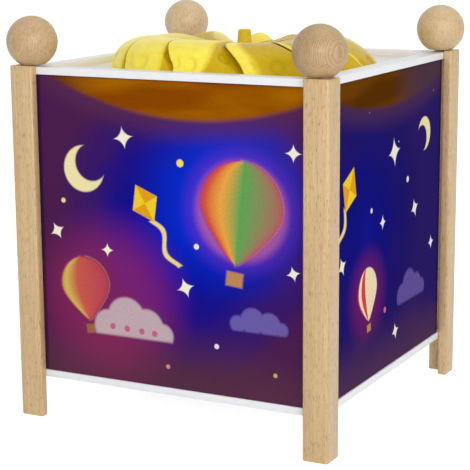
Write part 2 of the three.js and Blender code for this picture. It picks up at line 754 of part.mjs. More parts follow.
const post = postGeometry();
const ball = ballGeometry();
const ballScrew = ballScrewGeometry();
['front_left', 'front_right', 'back_right', 'back_left'].forEach((corner, index) => {
  const [x, y] = cornerPlaces[index];
  const turn = sideTurns[index];
  const ballReach = halfWidth - ballInset;
  const ballPlace = [x * ballReach, y * ballReach, 0];
  addMesh(lantern, `post_${corner}`, post, beech, [x * halfWidth, y * halfWidth, 0], turn);
  addMesh(lantern, `ball_${corner}`, ball, beech, ballPlace, turn);
  addMesh(lantern, `ball_screw_${corner}`, ballScrew, steel, ballPlace, turn);
});

addMesh(lantern, 'top_frame', topFrameGeometry(), whiteLacquer);
addMesh(lantern, 'base_board', baseBoardGeometry(), whiteLacquer);
addMesh(lantern, 'cord_grommet', grommetGeometry(), rubber, [0, grommetReach, 0]);

const panel = panelGeometry();
['front', 'right', 'back', 'left'].forEach((side, index) => {
  addMesh(lantern, `panel_${side}`, panel, picturePlastic, [0, 0, 0], sideTurns[index]);
});

const holder = new THREE.Group();
addMesh(holder, 'holder_pad', holderPadGeometry(), whitePlastic);
addMesh(holder, 'holder_shell', holderShellGeometry(), whitePlastic);
addMesh(holder, 'thread_sleeve', threadSleeveGeometry(), brass);
addMesh(holder, 'centre_contact', centreContactGeometry(), brass);
const holderScrew = holderScrewGeometry();
['right', 'left'].forEach((side, index) => {
  addMesh(holder, `holder_screw_${side}`, holderScrew, steel, [...earPlaces[index], 0]);
});
const socket = socketGeometry();
['left', 'right'].forEach((side, index) => {
  addMesh(holder, `arch_socket_${side}`, socket, brass, [...socketPlaces[index], 0]);
});
lantern.add(holder);

const bulb = new THREE.Group();
addMesh(bulb, 'bulb_glass', bulbGlassGeometry(), opalGlass);
addMesh(bulb, 'bulb_cap', bulbCapGeometry(), brass);
addMesh(bulb, 'bulb_tip', bulbTipGeometry(), blackGlass);
lantern.add(bulb);

const spindle = new THREE.Group();
addMesh(spindle, 'wire_arch', wireArchGeometry(), steel);
addMesh(spindle, 'needle_ferrule', ferruleGeometry(), brass);
addMesh(spindle, 'needle', needleGeometry(), steel);
lantern.add(spindle);

const drum = new THREE.Group();
addMesh(drum, 'fan_wheel', fanWheelGeometry(), yellowPlastic);
addMesh(drum, 'pivot_cup', pivotCupGeometry(), brass);
addMesh(drum, 'picture_drum', ringGeometry(filmRadius, filmWall, filmLow, filmHigh), filmPlastic);
addMesh(drum, 'drum_hoop', ringGeometry(hoopRadius, hoopWidth, filmLow, filmLow + hoopHeight), yellowPlastic);
lantern.add(drum);

export default lantern;
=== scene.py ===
# %% [markdown]
# # A revolving night light lantern
#
# The lantern is a square box of picture panels between four beech posts. A picture drum hangs inside
# it on a needle, and the warm air of the bulb turns the drum by its vaned fan wheel. The engineering
# model is a fixed frame: this script gives each piece its finished surface and material, and every
# new piece rides on one of the frame's bodies, so that it moves with it.

# %% Load the fixed frame
import math

import bmesh
import bpy
from mathutils import Matrix, Vector


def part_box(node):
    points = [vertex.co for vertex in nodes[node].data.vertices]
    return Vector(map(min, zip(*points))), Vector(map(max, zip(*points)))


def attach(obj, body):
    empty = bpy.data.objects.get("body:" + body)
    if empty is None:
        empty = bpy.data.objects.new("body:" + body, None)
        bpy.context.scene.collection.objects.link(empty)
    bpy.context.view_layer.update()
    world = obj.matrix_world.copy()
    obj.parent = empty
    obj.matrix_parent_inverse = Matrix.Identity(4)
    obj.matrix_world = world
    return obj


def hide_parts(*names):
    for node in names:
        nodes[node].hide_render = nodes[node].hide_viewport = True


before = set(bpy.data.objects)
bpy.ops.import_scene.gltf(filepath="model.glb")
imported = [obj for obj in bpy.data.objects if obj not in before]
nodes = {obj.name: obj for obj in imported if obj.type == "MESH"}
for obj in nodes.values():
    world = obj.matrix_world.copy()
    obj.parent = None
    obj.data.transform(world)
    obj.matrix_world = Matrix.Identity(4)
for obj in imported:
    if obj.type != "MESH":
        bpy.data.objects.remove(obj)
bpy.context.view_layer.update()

# %% [markdown]
# Blender works in metres, while the sizes of a small object are read in millimetres. So a size that
# stands bare in this script is in millimetres, unless its comment says metres, and one inside `mm()`
# comes out in metres. Hex colours are what a screen shows (sRGB), but a shader wants linear light, so
# one function turns them.
#
# A material is a graph of nodes. One small function adds a node, makes its settings and feeds its
# sockets. A feed is another node's output, which is then linked, or a number, or a hex colour. Feeds
# are given in the order of the sockets, or by socket name or number in a dictionary. A Mix node that
# blends colours takes its share at socket 0 and the colours at 6 and 7, and gives the blend at 2.

# %% Units, colours and nodes
COLOUR_MIX = {"data_type": "RGBA", "out": 2}


def mm(length):
    return length / 1000


def in_mm(metres):
    return metres * 1000


def linear(hex_code):
    parts = [int(hex_code[i:i + 2], 16) / 255 for i in (1, 3, 5)]
    return tuple(p / 12.92 if p <= 0.04045 else ((p + 0.055) / 1.055) ** 2.4 for p in parts) + (1.0,)


def feed(node, feeds):
    for socket, value in feeds.items():
        if isinstance(value, bpy.types.NodeSocket):
            node.id_data.links.new(value, node.inputs[socket])
        else:
            node.inputs[socket].default_value = linear(value) if isinstance(value, str) else value


def add_node(tree, kind, *feeds, out=0, **settings):
    """Adds a node with its settings and links, and gives back one of its outputs."""
    node = tree.nodes.new("ShaderNode" + kind)
    for setting, value in settings.items():
        setattr(node, setting, value)
    feed(node, feeds[0] if feeds and isinstance(feeds[0], dict) else dict(enumerate(feeds)))
    return node.outputs[out]


def start_material(name, roughness, metallic=0.0):
    material = bpy.data.materials.new(name)
    material.use_nodes = True
    shader = material.node_tree.nodes["Principled BSDF"]
    feed(shader, {"Roughness": roughness, "Metallic": metallic})
    return material, material.node_tree, shader


print("mid grey in linear light:", round(linear("#808080")[0], 3))

# %% [markdown]
# The camera stands where the photographer stood: a little above the top of the box and to the right
# of its front panel, far enough away for a long lens. Its place, turn and lens were fitted to the
# ends of the posts, the balls and the edges of the boards, with a lens that isn't shifted. The fit is
# out by about 1 mm, and by 3 mm at most.

# %% Camera
CAMERA_PLACE = Vector((mm(348.35), mm(-677.01), mm(239.67)))
CAMERA_YAW, CAMERA_PITCH, CAMERA_ROLL = -0.4824, -0.2043, -0.0078
FRAME_PIXELS, FOCAL_PIXELS, SENSOR_MM = 470, 1539.2, 36

scene = bpy.context.scene
lens = bpy.data.cameras.new("camera")
lens.sensor_width = SENSOR_MM
lens.lens = FOCAL_PIXELS * SENSOR_MM / FRAME_PIXELS
lens.clip_start = mm(10)
camera = bpy.data.objects.new("camera", lens)
scene.collection.objects.link(camera)
look = Vector((
    math.sin(CAMERA_YAW) * math.cos(CAMERA_PITCH),
    math.cos(CAMERA_YAW) * math.cos(CAMERA_PITCH),
    math.sin(CAMERA_PITCH),
))
turn = look.to_track_quat("-Z", "Y").to_matrix() @ Matrix.Rotation(CAMERA_ROLL, 3, "Z")
camera.matrix_world = Matrix.Translation(CAMERA_PLACE) @ turn.to_4x4()
scene.camera = camera
print("lens:", round(lens.lens, 1), "mm")

# %% [markdown]
# A product photo of this kind is lit by large soft boxes. The strongest stands beside the camera, as
# the balls show: they are palest in their middle and darker all round their rim. A second lamp at
# the right makes the right-hand faces of the posts as pale as the front ones, one above brings the
# flat white frame up to its colour, and a weak one at the left opens the shadows. The pale
# surroundings light everything softly. Only what the camera, a reflection or clear plastic sees of
# them is turned to pure white, so the background is white and adds no light to the object.

# %% Lights and surroundings
scene.view_settings.view_transform = "Standard"
AMBIENT = 0.35
LAMPS_AIM = Vector((0, 0, mm(100)))
# Each soft box has a place and a width in metres, and a power in watts.
SOFT_BOXES = {
    "soft_box_by_the_camera": ((1.0, -1.5, 0.62), 0.9, 14.5),
    "soft_box_right": ((1.75, -0.7, 0.9), 1.0, 5.5),
    "soft_box_above": ((0.1, 0.3, 1.7), 1.2, 5.0),
    "soft_box_left": ((-1.5, -1.2, 1.0), 1.0, 1.8),
}


def seen_directly(tree):
    """1 for a ray from the camera, in a reflection or through clear plastic, and 0 for light that falls."""
    path = tree.nodes.new("ShaderNodeLightPath").outputs
    either = add_node(tree, "Math", path["Is Camera Ray"], path["Is Glossy Ray"], operation="MAXIMUM")
    return add_node(tree, "Math", either, path["Is Transmission Ray"], operation="MAXIMUM")


world = bpy.data.worlds.new("pale_surroundings")
world.use_nodes = True
scene.world = world
tree = world.node_tree
brightness = add_node(tree, "MapRange", {"Value": seen_directly(tree), "To Min": AMBIENT, "To Max": 1.0})
feed(tree.nodes["Background"], {"Strength": brightness, "Color": "#FFFFFF"})


for name, (place, width, power) in SOFT_BOXES.items():
    lamp = bpy.data.lights.new(name, "AREA")
    lamp.shape = "SQUARE"
    lamp.size = width
    lamp.energy = power
    box = bpy.data.objects.new(name, lamp)
    scene.collection.objects.link(box)
    direction = LAMPS_AIM - Vector(place)
    box.matrix_world = Matrix.Translation(place) @ direction.to_track_quat("-Z", "Y").to_matrix().to_4x4()
print("surroundings at", AMBIENT, "and", len(SOFT_BOXES), "soft boxes")

# %% [markdown]
# The lantern stands on a sheet of matt white paper. The sheet is one large face, so wide that its far
# edge lies outside the view. A glow that only the camera and reflections see lifts it to white where
# it is lit, and leaves the soft shadow round the feet.

# %% Floor
# Half of the sheet's width is in metres.
FLOOR_GLOW, FLOOR_HALF_WIDTH = 0.7, 12

bm = bmesh.new()
bmesh.ops.create_grid(bm, x_segments=1, y_segments=1, size=FLOOR_HALF_WIDTH)
floor_mesh = bpy.data.meshes.new("floor")
bm.to_mesh(floor_mesh)
bm.free()
floor = bpy.data.objects.new("floor", floor_mesh)
scene.collection.objects.link(floor)
material, tree, shader = start_material("matt_white_paper_floor", 0.9)
glow = add_node(tree, "Math", seen_directly(tree), FLOOR_GLOW, operation="MULTIPLY")
feed(shader, {"Base Color": "#F2F2F2", "Emission Color": "#FFFFFF", "Emission Strength": glow})
floor_mesh.materials.append(material)
print("floor:", [round(side) for side in floor.dimensions.xy], "m")

# %% [markdown]
# Every finished piece goes through the same last steps. The bmesh becomes a mesh, small angles are
# shaded smooth while real edges stay sharp, the piece gets its material and is hung on the body it
# rides on, and the node of the frame that it stands for is hidden.
#
# More helpers serve several pieces. One bevels sharp edges. Another spins a profile round the upright
# axis, the way a lathe or a mould of revolution makes a piece, and `band_profile` is the section of a
# plain ring. The others pick the points or edges out of what an operator gives back, join meshes, and
# copy a solid of the frame.

# %% Finishing and shaping
SAME_PLACE, SPIN_MERGE, COPY_MERGE, FLAT_DEGREES = mm(0.01), mm(0.005), mm(0.002), 2


def finish_piece(name, bm, material, body, node, sharp_degrees=35):
    mesh = bpy.data.meshes.new(name)
    bm.to_mesh(mesh)
    bm.free()
    mesh.shade_smooth()
    mesh.set_sharp_from_angle(angle=math.radians(sharp_degrees))
    mesh.materials.append(material)
    piece = bpy.data.objects.new(name, mesh)
    scene.collection.objects.link(piece)
    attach(piece, body)
    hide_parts(node)
    return piece


def soften(bm, width, segments=2, degrees=35, edges=None):
    limit = math.radians(degrees)
    if edges is None:
        edges = [e for e in bm.edges if len(e.link_faces) == 2 and e.calc_face_angle(0) > limit]
    bmesh.ops.bevel(bm, geom=edges, offset=width, offset_type="OFFSET", segments=segments, profile=0.5,
                    affect="EDGES", clamp_overlap=True, material=-1)


def only(kind, geometry):
    return [part for part in geometry if isinstance(part, kind)]


def spin_profile(bm, profile, steps):
    """Turns a line of (radius, height) points in millimetres into a body of revolution round Z."""
    points = [bm.verts.new((mm(radius), 0, mm(height))) for radius, height in profile]
    lines = [bm.edges.new(pair) for pair in zip(points, points[1:])]
    bmesh.ops.spin(bm, geom=points + lines, cent=(0, 0, 0), axis=(0, 0, 1), angle=math.tau, steps=steps,
                   use_merge=True)
    bmesh.ops.remove_doubles(bm, verts=bm.verts, dist=SPIN_MERGE)
    bmesh.ops.recalc_face_normals(bm, faces=bm.faces)


def band_profile(inner, outer, foot, top):
    return [(inner, foot), (outer, foot), (outer, top), (inner, top), (inner, foot)]


def add_to(bm, other):
    """Moves the geometry of another bmesh into this one."""
    mesh = bpy.data.meshes.new("passing")
    other.to_mesh(mesh)
    other.free()
    bm.from_mesh(mesh)
    bpy.data.meshes.remove(mesh)


def copy_of_node(name):
    """The frame's own solid as a clean bmesh: its loose triangles joined and flat areas made whole."""
    bm = bmesh.new()
    bm.from_mesh(nodes[name].data)
    bmesh.ops.remove_doubles(bm, verts=bm.verts, dist=COPY_MERGE)
    bmesh.ops.dissolve_limit(bm, angle_limit=math.radians(FLAT_DEGREES), verts=bm.verts, edges=bm.edges)
    return bm


print("helpers ready; one full spin takes", math.degrees(math.tau), "degrees")

# %% [markdown]
# The posts and balls are steamed beech, sanded and left matt. Beech is pinkish straw with marks that
# the eye knows it by: soft growth layers, and short dark dashes, the rays, that run with the grain.
# It could be an image of a board, but a solid pattern runs through corners and end grain as real
# wood does.
#
# The layers are a wave along one direction, bent by noise. On a post they give faint broad stripes.
# On a ball, flat layers meet the round surface in lines that close into loops where it faces along
# them, so each ball is given its own direction. The wave texture repeats once in a twentieth of tau,
# which its scale allows for. The dashes are a noise stretched along the grain and cut off below a
# threshold, and dent the surface a little. Real rays are 0.3 mm wide, and they are drawn 0.5 mm wide
# here so that they show.

# %% Beech
DASH_WIDTH, STREAK_WIDTH, GRAIN_LENGTH, PATCH_WIDTH = 0.5, 0.9, 34, 22
LAYER_LEAN, LAYER_STRETCH, WAVE_REPEAT = math.radians(4), 0.15, math.tau / 20
DASH_FROM, DASH_FULL, DASH_COLOUR = 0.56, 0.68, "#8A5E38"


def make_beech(name, facing_degrees, layer_mm, layer_strength, dash_mm, dash_strength, pale, deep, layer):
    material, tree, shader = start_material(name, 0.38)
    place = add_node(tree, "TexCoord", out="Object")
    turned = add_node(tree, "Mapping", {
        "Vector": place, "Rotation": (0, LAYER_LEAN, -math.radians(facing_degrees)),
        "Scale": (1, 1, LAYER_STRETCH)})
    layers = add_node(tree, "TexWave", {
        "Vector": turned, "Scale": WAVE_REPEAT / mm(layer_mm), "Distortion": 4.0, "Detail": 2.0,
        "Detail Scale": 0.5 * layer_mm, "Detail Roughness": 0.5},
        wave_type="BANDS", bands_direction="X", wave_profile="SAW", out=1)
    along = add_node(tree, "Mapping", {"Vector": place, "Scale": (
        1 / mm(STREAK_WIDTH), 1 / mm(STREAK_WIDTH), 1 / mm(GRAIN_LENGTH))})
    streaks = add_node(tree, "TexNoise", {"Vector": along, "Scale": 1.0, "Detail": 4.0, "Roughness": 0.62})
    cloudy = add_node(tree, "TexNoise", {"Vector": place, "Scale": 1 / mm(PATCH_WIDTH), "Detail": 1.0})
    short = add_node(tree, "Mapping", {"Vector": place, "Scale": (
        1 / mm(DASH_WIDTH), 1 / mm(DASH_WIDTH), 1 / mm(dash_mm))})
    rays = add_node(tree, "TexNoise", {"Vector": short, "Scale": 1.0, "Detail": 1.0, "Roughness": 0.5})
    ray = add_node(tree, "MapRange", {"Value": rays, "From Min": DASH_FROM, "From Max": DASH_FULL},
                   interpolation_type="SMOOTHSTEP")
    colour = add_node(tree, "Mix", {0: streaks, 6: deep, 7: pale}, **COLOUR_MIX)
    patchy = add_node(tree, "MapRange", {"Value": cloudy, "From Min": 0.3, "From Max": 0.7,
                                         "To Min": 0.4 * layer_strength, "To Max": layer_strength})
    layer_mask = add_node(tree, "Math", layers, patchy, operation="MULTIPLY")
    colour = add_node(tree, "Mix", {0: layer_mask, 6: colour, 7: layer}, **COLOUR_MIX)
    ray_mask = add_node(tree, "Math", ray, dash_strength, operation="MULTIPLY")
    colour = add_node(tree, "Mix", {0: ray_mask, 6: colour, 7: DASH_COLOUR}, **COLOUR_MIX)
    dent = add_node(tree, "Bump", {"Height": ray, "Strength": 0.2, "Distance": mm(0.05)}, invert=True)
    feed(shader, {"Base Color": colour, "Normal": dent})
    return material


post_beech = make_beech("beech_sanded_straight_grain", facing_degrees=20, layer_mm=6.0, layer_strength=0.26,
                        dash_mm=3.6, dash_strength=0.45, pale="#EFD4A6", deep="#C39C66", layer="#B98C58")
print("beech nodes:", len(post_beech.node_tree.nodes))

# %% [markdown]
# A corner post is an L in section: its two outer faces are the visible width, and the boards and
# panels sit behind its legs. The section is drawn as one face, pulled up to the post's height, and
# its edges are eased the way a sander leaves them, the outer corner the most. The other three posts
# are the same piece turned a quarter each time.

# %% Corner posts
POST_WALL, CORNER_ROUND, TIP_ROUND, END_BREAK = mm(4.4), mm(1.4), mm(0.9), mm(0.45)
post_low, post_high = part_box("post_front_left")
leg = post_high.x - post_low.x


def upright_edges(bm, places):
    found = []
    for edge in bm.edges:
        a, b = (v.co for v in edge.verts)
        if (a.xy - b.xy).length < SAME_PLACE and any((a.xy - place).length < SAME_PLACE for place in places):
            found.append(edge)
    return found


def build_post(corner, quarter_turns):
    bm = bmesh.new()
    outline = [(0, 0), (leg, 0), (leg, POST_WALL), (POST_WALL, POST_WALL), (POST_WALL, leg), (0, leg)]
    section = bm.faces.new([bm.verts.new((post_low.x + x, post_low.y + y, post_low.z)) for x, y in outline])
    pulled = bmesh.ops.extrude_face_region(bm, geom=[section])
    top = only(bmesh.types.BMVert, pulled["geom"])
    bmesh.ops.translate(bm, verts=top, vec=(0, 0, post_high.z - post_low.z))
    bmesh.ops.recalc_face_normals(bm, faces=bm.faces)
    outer = Vector((post_low.x, post_low.y))
    tips = [outer + Vector(shift) for shift in ((leg, 0), (0, leg))]
    soften(bm, CORNER_ROUND, 4, edges=upright_edges(bm, [outer]))
    soften(bm, TIP_ROUND, 3, edges=upright_edges(bm, tips))
    soften(bm, END_BREAK, 2, degrees=60)
    quarter = Matrix.Rotation(quarter_turns * math.pi / 2, 3, "Z")
    bmesh.ops.rotate(bm, verts=bm.verts, cent=(0, 0, 0), matrix=quarter)
    finish_piece(f"beech_post_{corner}", bm, post_beech, "lantern", f"post_{corner}")


CORNERS = ["front_left", "front_right", "back_right", "back_left"]
for quarter_turns, corner in enumerate(CORNERS):
    build_post(corner, quarter_turns)
print("post leg:", round(in_mm(leg), 1), "mm, height:", round(in_mm(post_high.z), 1), "mm")

# %% [markdown]
# The balls are turned on a lathe and have a small flat where they sit on the post, with a blind hole
# for the screw. A UV sphere is cut by a plane at the flat, the cut is closed with a face, and an
# inset ring in that face is pushed up to make the hole. Turned wood is a little browner than the
# planed posts, its layers lie closer, and each ball was cut from another piece, so each has its own
# direction of the grain and its own tone. The two back balls are painted paler still: painted light,
# for the light that falls on the back of the box.

# %% Balls
BALL_DIAMETER, FLAT_ROUND, SCREW_HOLE_RADIUS, SCREW_HOLE_DEPTH = mm(24.2), mm(0.35), mm(1.5), mm(8.0)
# Each ball has the way its layers face, their strength, and its pale and deep tones; the back two are painted
# paler as painted light.
BALLS = {
    "front_left": (-100, 0.35, "#E6C79A", "#B48E60"), "front_right": (-20, 0.75, "#E8CA9E", "#AA8452"),
    "back_right": (50, 0.3, "#EED3A8", "#D0AC7A"), "back_left": (15, 0.4, "#F5DEB8", "#DCBA8C"),
}


def build_ball(corner):
    low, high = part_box(f"ball_{corner}")
    middle = Vector(((low.x + high.x) / 2, (low.y + high.y) / 2, high.z - BALL_DIAMETER / 2))
    bm = bmesh.new()
    bmesh.ops.create_uvsphere(bm, u_segments=72, v_segments=48, radius=BALL_DIAMETER / 2,
                              matrix=Matrix.Translation(middle))
    cut = bmesh.ops.bisect_plane(bm, geom=bm.verts[:] + bm.edges[:] + bm.faces[:],
                                 plane_co=(0, 0, low.z), plane_no=(0, 0, -1), clear_outer=True)
    bmesh.ops.contextual_create(bm, geom=only(bmesh.types.BMEdge, cut["geom_cut"]))
    bmesh.ops.recalc_face_normals(bm, faces=bm.faces)
    flat = min(bm.faces, key=lambda face: face.calc_center_median().z)
    soften(bm, FLAT_ROUND, 2, edges=list(flat.edges))
    flat = min(bm.faces, key=lambda face: face.calc_center_median().z)
    flat_radius = (flat.verts[0].co.xy - middle.xy).length
    bmesh.ops.inset_region(bm, faces=[flat], thickness=flat_radius - SCREW_HOLE_RADIUS, use_even_offset=True)
    hole = bmesh.ops.extrude_face_region(bm, geom=[flat])
    bmesh.ops.delete(bm, geom=[flat], context="FACES_ONLY")
    bmesh.ops.translate(bm, verts=only(bmesh.types.BMVert, hole["geom"]), vec=(0, 0, SCREW_HOLE_DEPTH))
    bmesh.ops.recalc_face_normals(bm, faces=bm.faces)
    facing, layer_strength, pale, deep = BALLS[corner]
    wood = make_beech(f"beech_turned_ball_{corner}", facing, layer_mm=0.75, layer_strength=layer_strength,
                      dash_mm=2.2, dash_strength=0.35, pale=pale, deep=deep, layer="#8A6236")
    return finish_piece(f"beech_ball_{corner}", bm, wood, "lantern", f"ball_{corner}")


for corner in CORNERS:
    ball = build_ball(corner)
print("ball:", len(ball.data.polygons), "faces")

# %% [markdown]
# The top frame and the base board are thin fibreboard with a white satin lacquer. Their grooves and
# holes are already right in the frame's solids, so the new pieces start from copies of those, and
# only the sharp edges are broken by a fine bevel. The lacquer's orange peel is a very soft noise of
# about two millimetres, too faint for colour but alive in the highlights.

# %% White boards
LACQUER_CLOUD, PEEL_DEPTH, BOARD_BREAK = 35, 0.03, mm(0.3)


def make_lacquer(name, colour, roughness, peel_mm, peel_strength):
    material, tree, shader = start_material(name, roughness)
    place = add_node(tree, "TexCoord", out="Object")
    peel = add_node(tree, "TexNoise", {"Vector": place, "Scale": 1 / mm(peel_mm), "Detail": 2.0})
    cloudy = add_node(tree, "TexNoise", {"Vector": place, "Scale": 1 / mm(LACQUER_CLOUD), "Detail": 3.0})
    tint = add_node(tree, "Mix", {0: cloudy, 6: colour, 7: "#FBFCFE"}, **COLOUR_MIX)
    bump = add_node(tree, "Bump", {"Height": peel, "Strength": peel_strength, "Distance": mm(PEEL_DEPTH)})
    feed(shader, {"Base Color": tint, "Normal": bump})
    return material


white_lacquer = make_lacquer("white_satin_lacquer_on_fibreboard", "#F4F5F8", 0.34,
                             peel_mm=2.0, peel_strength=0.3)
for board in ("top_frame", "base_board"):
    bm = copy_of_node(board)
    soften(bm, BOARD_BREAK, 2, degrees=60)
    piece = finish_piece(f"lacquered_{board}", bm, white_lacquer, "lantern", board)
    print(piece.name, len(piece.data.polygons), "faces")

# %% [markdown]
# ## The picture panels
#
# Each panel is a one millimetre sheet of translucent plastic with a printed night sky. The bulb
# inside lights it from behind, through the drum, so the panel shows three things at once: the print
# on the panel, crisp; the drum's pictures, thrown on it out of focus; and at the top the amber
# shadow of the yellow skirt, whose lower edge is a curve, because the skirt is round and the sheet
# is flat.
#
# An image would be one way, but a picture painted with nodes stays sharp from any distance. `u` runs
# to the right along the panel and `v` is the height, both in millimetres. A motif is placed by a
# Mapping node that turns the panel's coordinates into the motif's own, where it has size 1. There it
# is a simple formula, negative inside and positive outside, and one step of printing lays a colour
# wherever the formula is below an edge.

# %% Printing tools
def panel_canvas(tree, turn):
    """The canvas of the panel at that turn round Z, then its u to the right, its depth and its v up."""
    place = add_node(tree, "TexCoord", out="Object")
    turned = add_node(tree, "VectorRotate", {"Vector": place, "Axis": (0, 0, 1), "Angle": -turn},
                      rotation_type="AXIS_ANGLE")
    big = add_node(tree, "VectorMath", {0: turned, "Scale": in_mm(1.0)}, operation="SCALE")
    parts = [add_node(tree, "SeparateXYZ", big, out=axis) for axis in range(3)]
    return add_node(tree, "CombineXYZ", parts[0], parts[2]), parts[0], parts[1], parts[2]


def place_motif(tree, canvas, middle, size, turn=0.0):
    """The canvas seen from a motif at that middle: its own axes, in units of its size."""
    return add_node(tree, "Mapping", {
        "Vector": canvas, "Location": (*middle, 0), "Rotation": (0, 0, math.radians(turn)),
        "Scale": (size, size, 1)}, vector_type="TEXTURE")


def print_ink(tree, base, shape, edge, blur, colour, strength=1.0):
    """Lays a colour over the base where the shape's value is below an edge, with a soft step there."""
    mask = add_node(tree, "MapRange", {"Value": shape, "From Min": edge - blur, "From Max": edge + blur,
                                       "To Min": strength, "To Max": 0.0}, interpolation_type="SMOOTHSTEP")
    return add_node(tree, "Mix", {0: mask, 6: base, 7: colour}, **COLOUR_MIX)


print("printing tools ready")

# %% [markdown]
# The simplest motifs are a dot, which is a distance from its middle; a four-pointed sparkle, the
# curve where powers of x and y add up to one; a crescent, which is one disc less another; and a
# cloud, the nearest of several overlapping discs, cut level at its foot.

# %% Dots, sparkles, moon and clouds
SPARKLE_POWER, SPARKLE_BLUR = 0.6, 0.1
BITE_PLACE, BITE_RADIUS, CRESCENT_BLUR = (0.48, 0.12, 0), 0.82, 0.05
CLOUD_FOOT, FAR_AWAY = -0.32, 9.0


def print_dot(tree, base, canvas, middle, size, blur, colour, strength=1.0):
    local = place_motif(tree, canvas, middle, size)
    reach = add_node(tree, "VectorMath", local, operation="LENGTH", out=1)
    return print_ink(tree, base, reach, 1.0, blur / size, colour, strength)


def print_sparkle(tree, base, canvas, middle, size, turn, colour):
    local = place_motif(tree, canvas, middle, size, turn)
    corner = add_node(tree, "VectorMath", local, operation="ABSOLUTE")
    arms = [add_node(tree, "Math", add_node(tree, "SeparateXYZ", corner, out=axis), SPARKLE_POWER,
                     operation="POWER") for axis in range(2)]
    reach = add_node(tree, "Math", *arms, operation="ADD")
    return print_ink(tree, base, reach, 1.0, SPARKLE_BLUR, colour)


def print_crescent(tree, base, canvas, middle, size, turn, colour):
    local = place_motif(tree, canvas, middle, size, turn)
    disc = add_node(tree, "VectorMath", local, operation="LENGTH", out=1)
    bite = add_node(tree, "VectorMath", local, BITE_PLACE, operation="DISTANCE", out=1)
    outside = add_node(tree, "Math", disc, 1.0, operation="SUBTRACT")
    bitten = add_node(tree, "Math", BITE_RADIUS, bite, operation="SUBTRACT")
    moon = add_node(tree, "Math", outside, bitten, operation="MAXIMUM")
    return print_ink(tree, base, moon, 0.0, CRESCENT_BLUR, colour)


def print_cloud(tree, base, canvas, middle, size, puffs, blur, colour, strength):
    local = place_motif(tree, canvas, middle, size)
    shape = FAR_AWAY
    for across, up, radius in puffs:
        reach = add_node(tree, "VectorMath", local, (across, up, 0), operation="DISTANCE", out=1)
        puff = add_node(tree, "Math", reach, radius, operation="SUBTRACT")
        shape = add_node(tree, "Math", shape, puff, operation="MINIMUM")
    up = add_node(tree, "SeparateXYZ", local, out=1)
    foot = add_node(tree, "Math", CLOUD_FOOT, up, operation="SUBTRACT")
    shape = add_node(tree, "Math", shape, foot, operation="MAXIMUM")
    return print_ink(tree, base, shape, 0.0, blur / size, colour, strength)


print("motifs: dot, sparkle, crescent, cloud")

# %% [markdown]
# A hot air balloon is a disc above its middle and a longer, tapered half below. Its stripes are
# meridians of a round body: the arcsine of the place across the width gives the angle round it, so
# the stripes crowd towards the sides as they do on a real balloon. A constant colour ramp makes them
# crisp, and a linear one gives the soft stripes of a picture that is thrown from the drum.

# %% Balloon
LOWER_HALF, TAPER, TAPER_POWER, NARROWEST = 0.78, -0.42, 1.6, 0.02
BASKET_DROP, BASKET_WIDTH, BASKET_SIZE = 1.6, 0.8, 0.16


def colour_stripes(ramp, stripes, soft):
    """Shares out the colours along the ramp: blended when soft, else each with an even share."""
    ramp.interpolation = "LINEAR" if soft else "CONSTANT"
    for index, colour in enumerate(stripes):
        stop = ramp.elements[index] if index < 2 else ramp.elements.new(0.5)
        stop.position = index / (len(stripes) - 1 if soft else len(stripes))
        stop.color = linear(colour)


def print_balloon(tree, base, canvas, middle, size, turn, blur, stripes, basket_colour, strength=1.0):
    local = place_motif(tree, canvas, middle, size, turn)
    x, y = (add_node(tree, "SeparateXYZ", local, out=axis) for axis in range(2))
    above = add_node(tree, "Math", y, 0.0, operation="MAXIMUM")
    below = add_node(tree, "Math", y, 0.0, operation="MINIMUM")
    height = add_node(tree, "Math", below, LOWER_HALF, above, operation="MULTIPLY_ADD")
    down = add_node(tree, "Math", below, operation="ABSOLUTE")
    narrow = add_node(tree, "Math", down, TAPER_POWER, operation="POWER")
    taper = add_node(tree, "Math", narrow, TAPER, 1.0, operation="MULTIPLY_ADD")
    wide = add_node(tree, "Math", x, taper, operation="DIVIDE")
    place = add_node(tree, "CombineXYZ", wide, height)
    skin = add_node(tree, "VectorMath", place, operation="LENGTH", out=1)
    square = add_node(tree, "Math", height, 2.0, operation="POWER")
    level = add_node(tree, "Math", square, -1.0, 1.0, operation="MULTIPLY_ADD")
    positive = add_node(tree, "Math", level, NARROWEST, operation="MAXIMUM")
    half_width = add_node(tree, "Math", positive, operation="SQRT")
    share = add_node(tree, "Math", wide, half_width, operation="DIVIDE")
    meridian = add_node(tree, "Math", share, operation="ARCSINE")
    around = add_node(tree, "MapRange", {
        "Value": meridian, "From Min": -math.pi / 2, "From Max": math.pi / 2})
    colours = add_node(tree, "ValToRGB", around)
    colour_stripes(colours.node.color_ramp, stripes, soft=blur > 1)
    base = print_ink(tree, base, skin, 1.0, blur / size, colours, strength)
    lower = add_node(tree, "Math", y, BASKET_DROP, operation="ADD")
    deep = add_node(tree, "Math", lower, operation="ABSOLUTE")
    aside = add_node(tree, "Math", x, BASKET_WIDTH, operation="MULTIPLY")
    side = add_node(tree, "Math", aside, operation="ABSOLUTE")
    basket = add_node(tree, "Math", deep, side, operation="MAXIMUM")
    return print_ink(tree, base, basket, BASKET_SIZE, max(blur, 0.3) / size / 2, basket_colour, strength)


print("motif: balloon")

# %% [markdown]
# A kite is a lozenge, where the sizes of x and y add up to a limit, in two colours by quarters. Its
# tail is a thin band round a sine wave. Both are printed crisp, as they belong to the panel.

# %% Kite
TAIL_WAVES, TAIL_SWING, TAIL_HALF_WIDTH, TAIL_BLUR = 2.6, -0.26, 0.14, 0.07
SAIL_LENGTH, SAIL_SIZE, SAIL_BLUR = 0.78, 0.9, 0.05


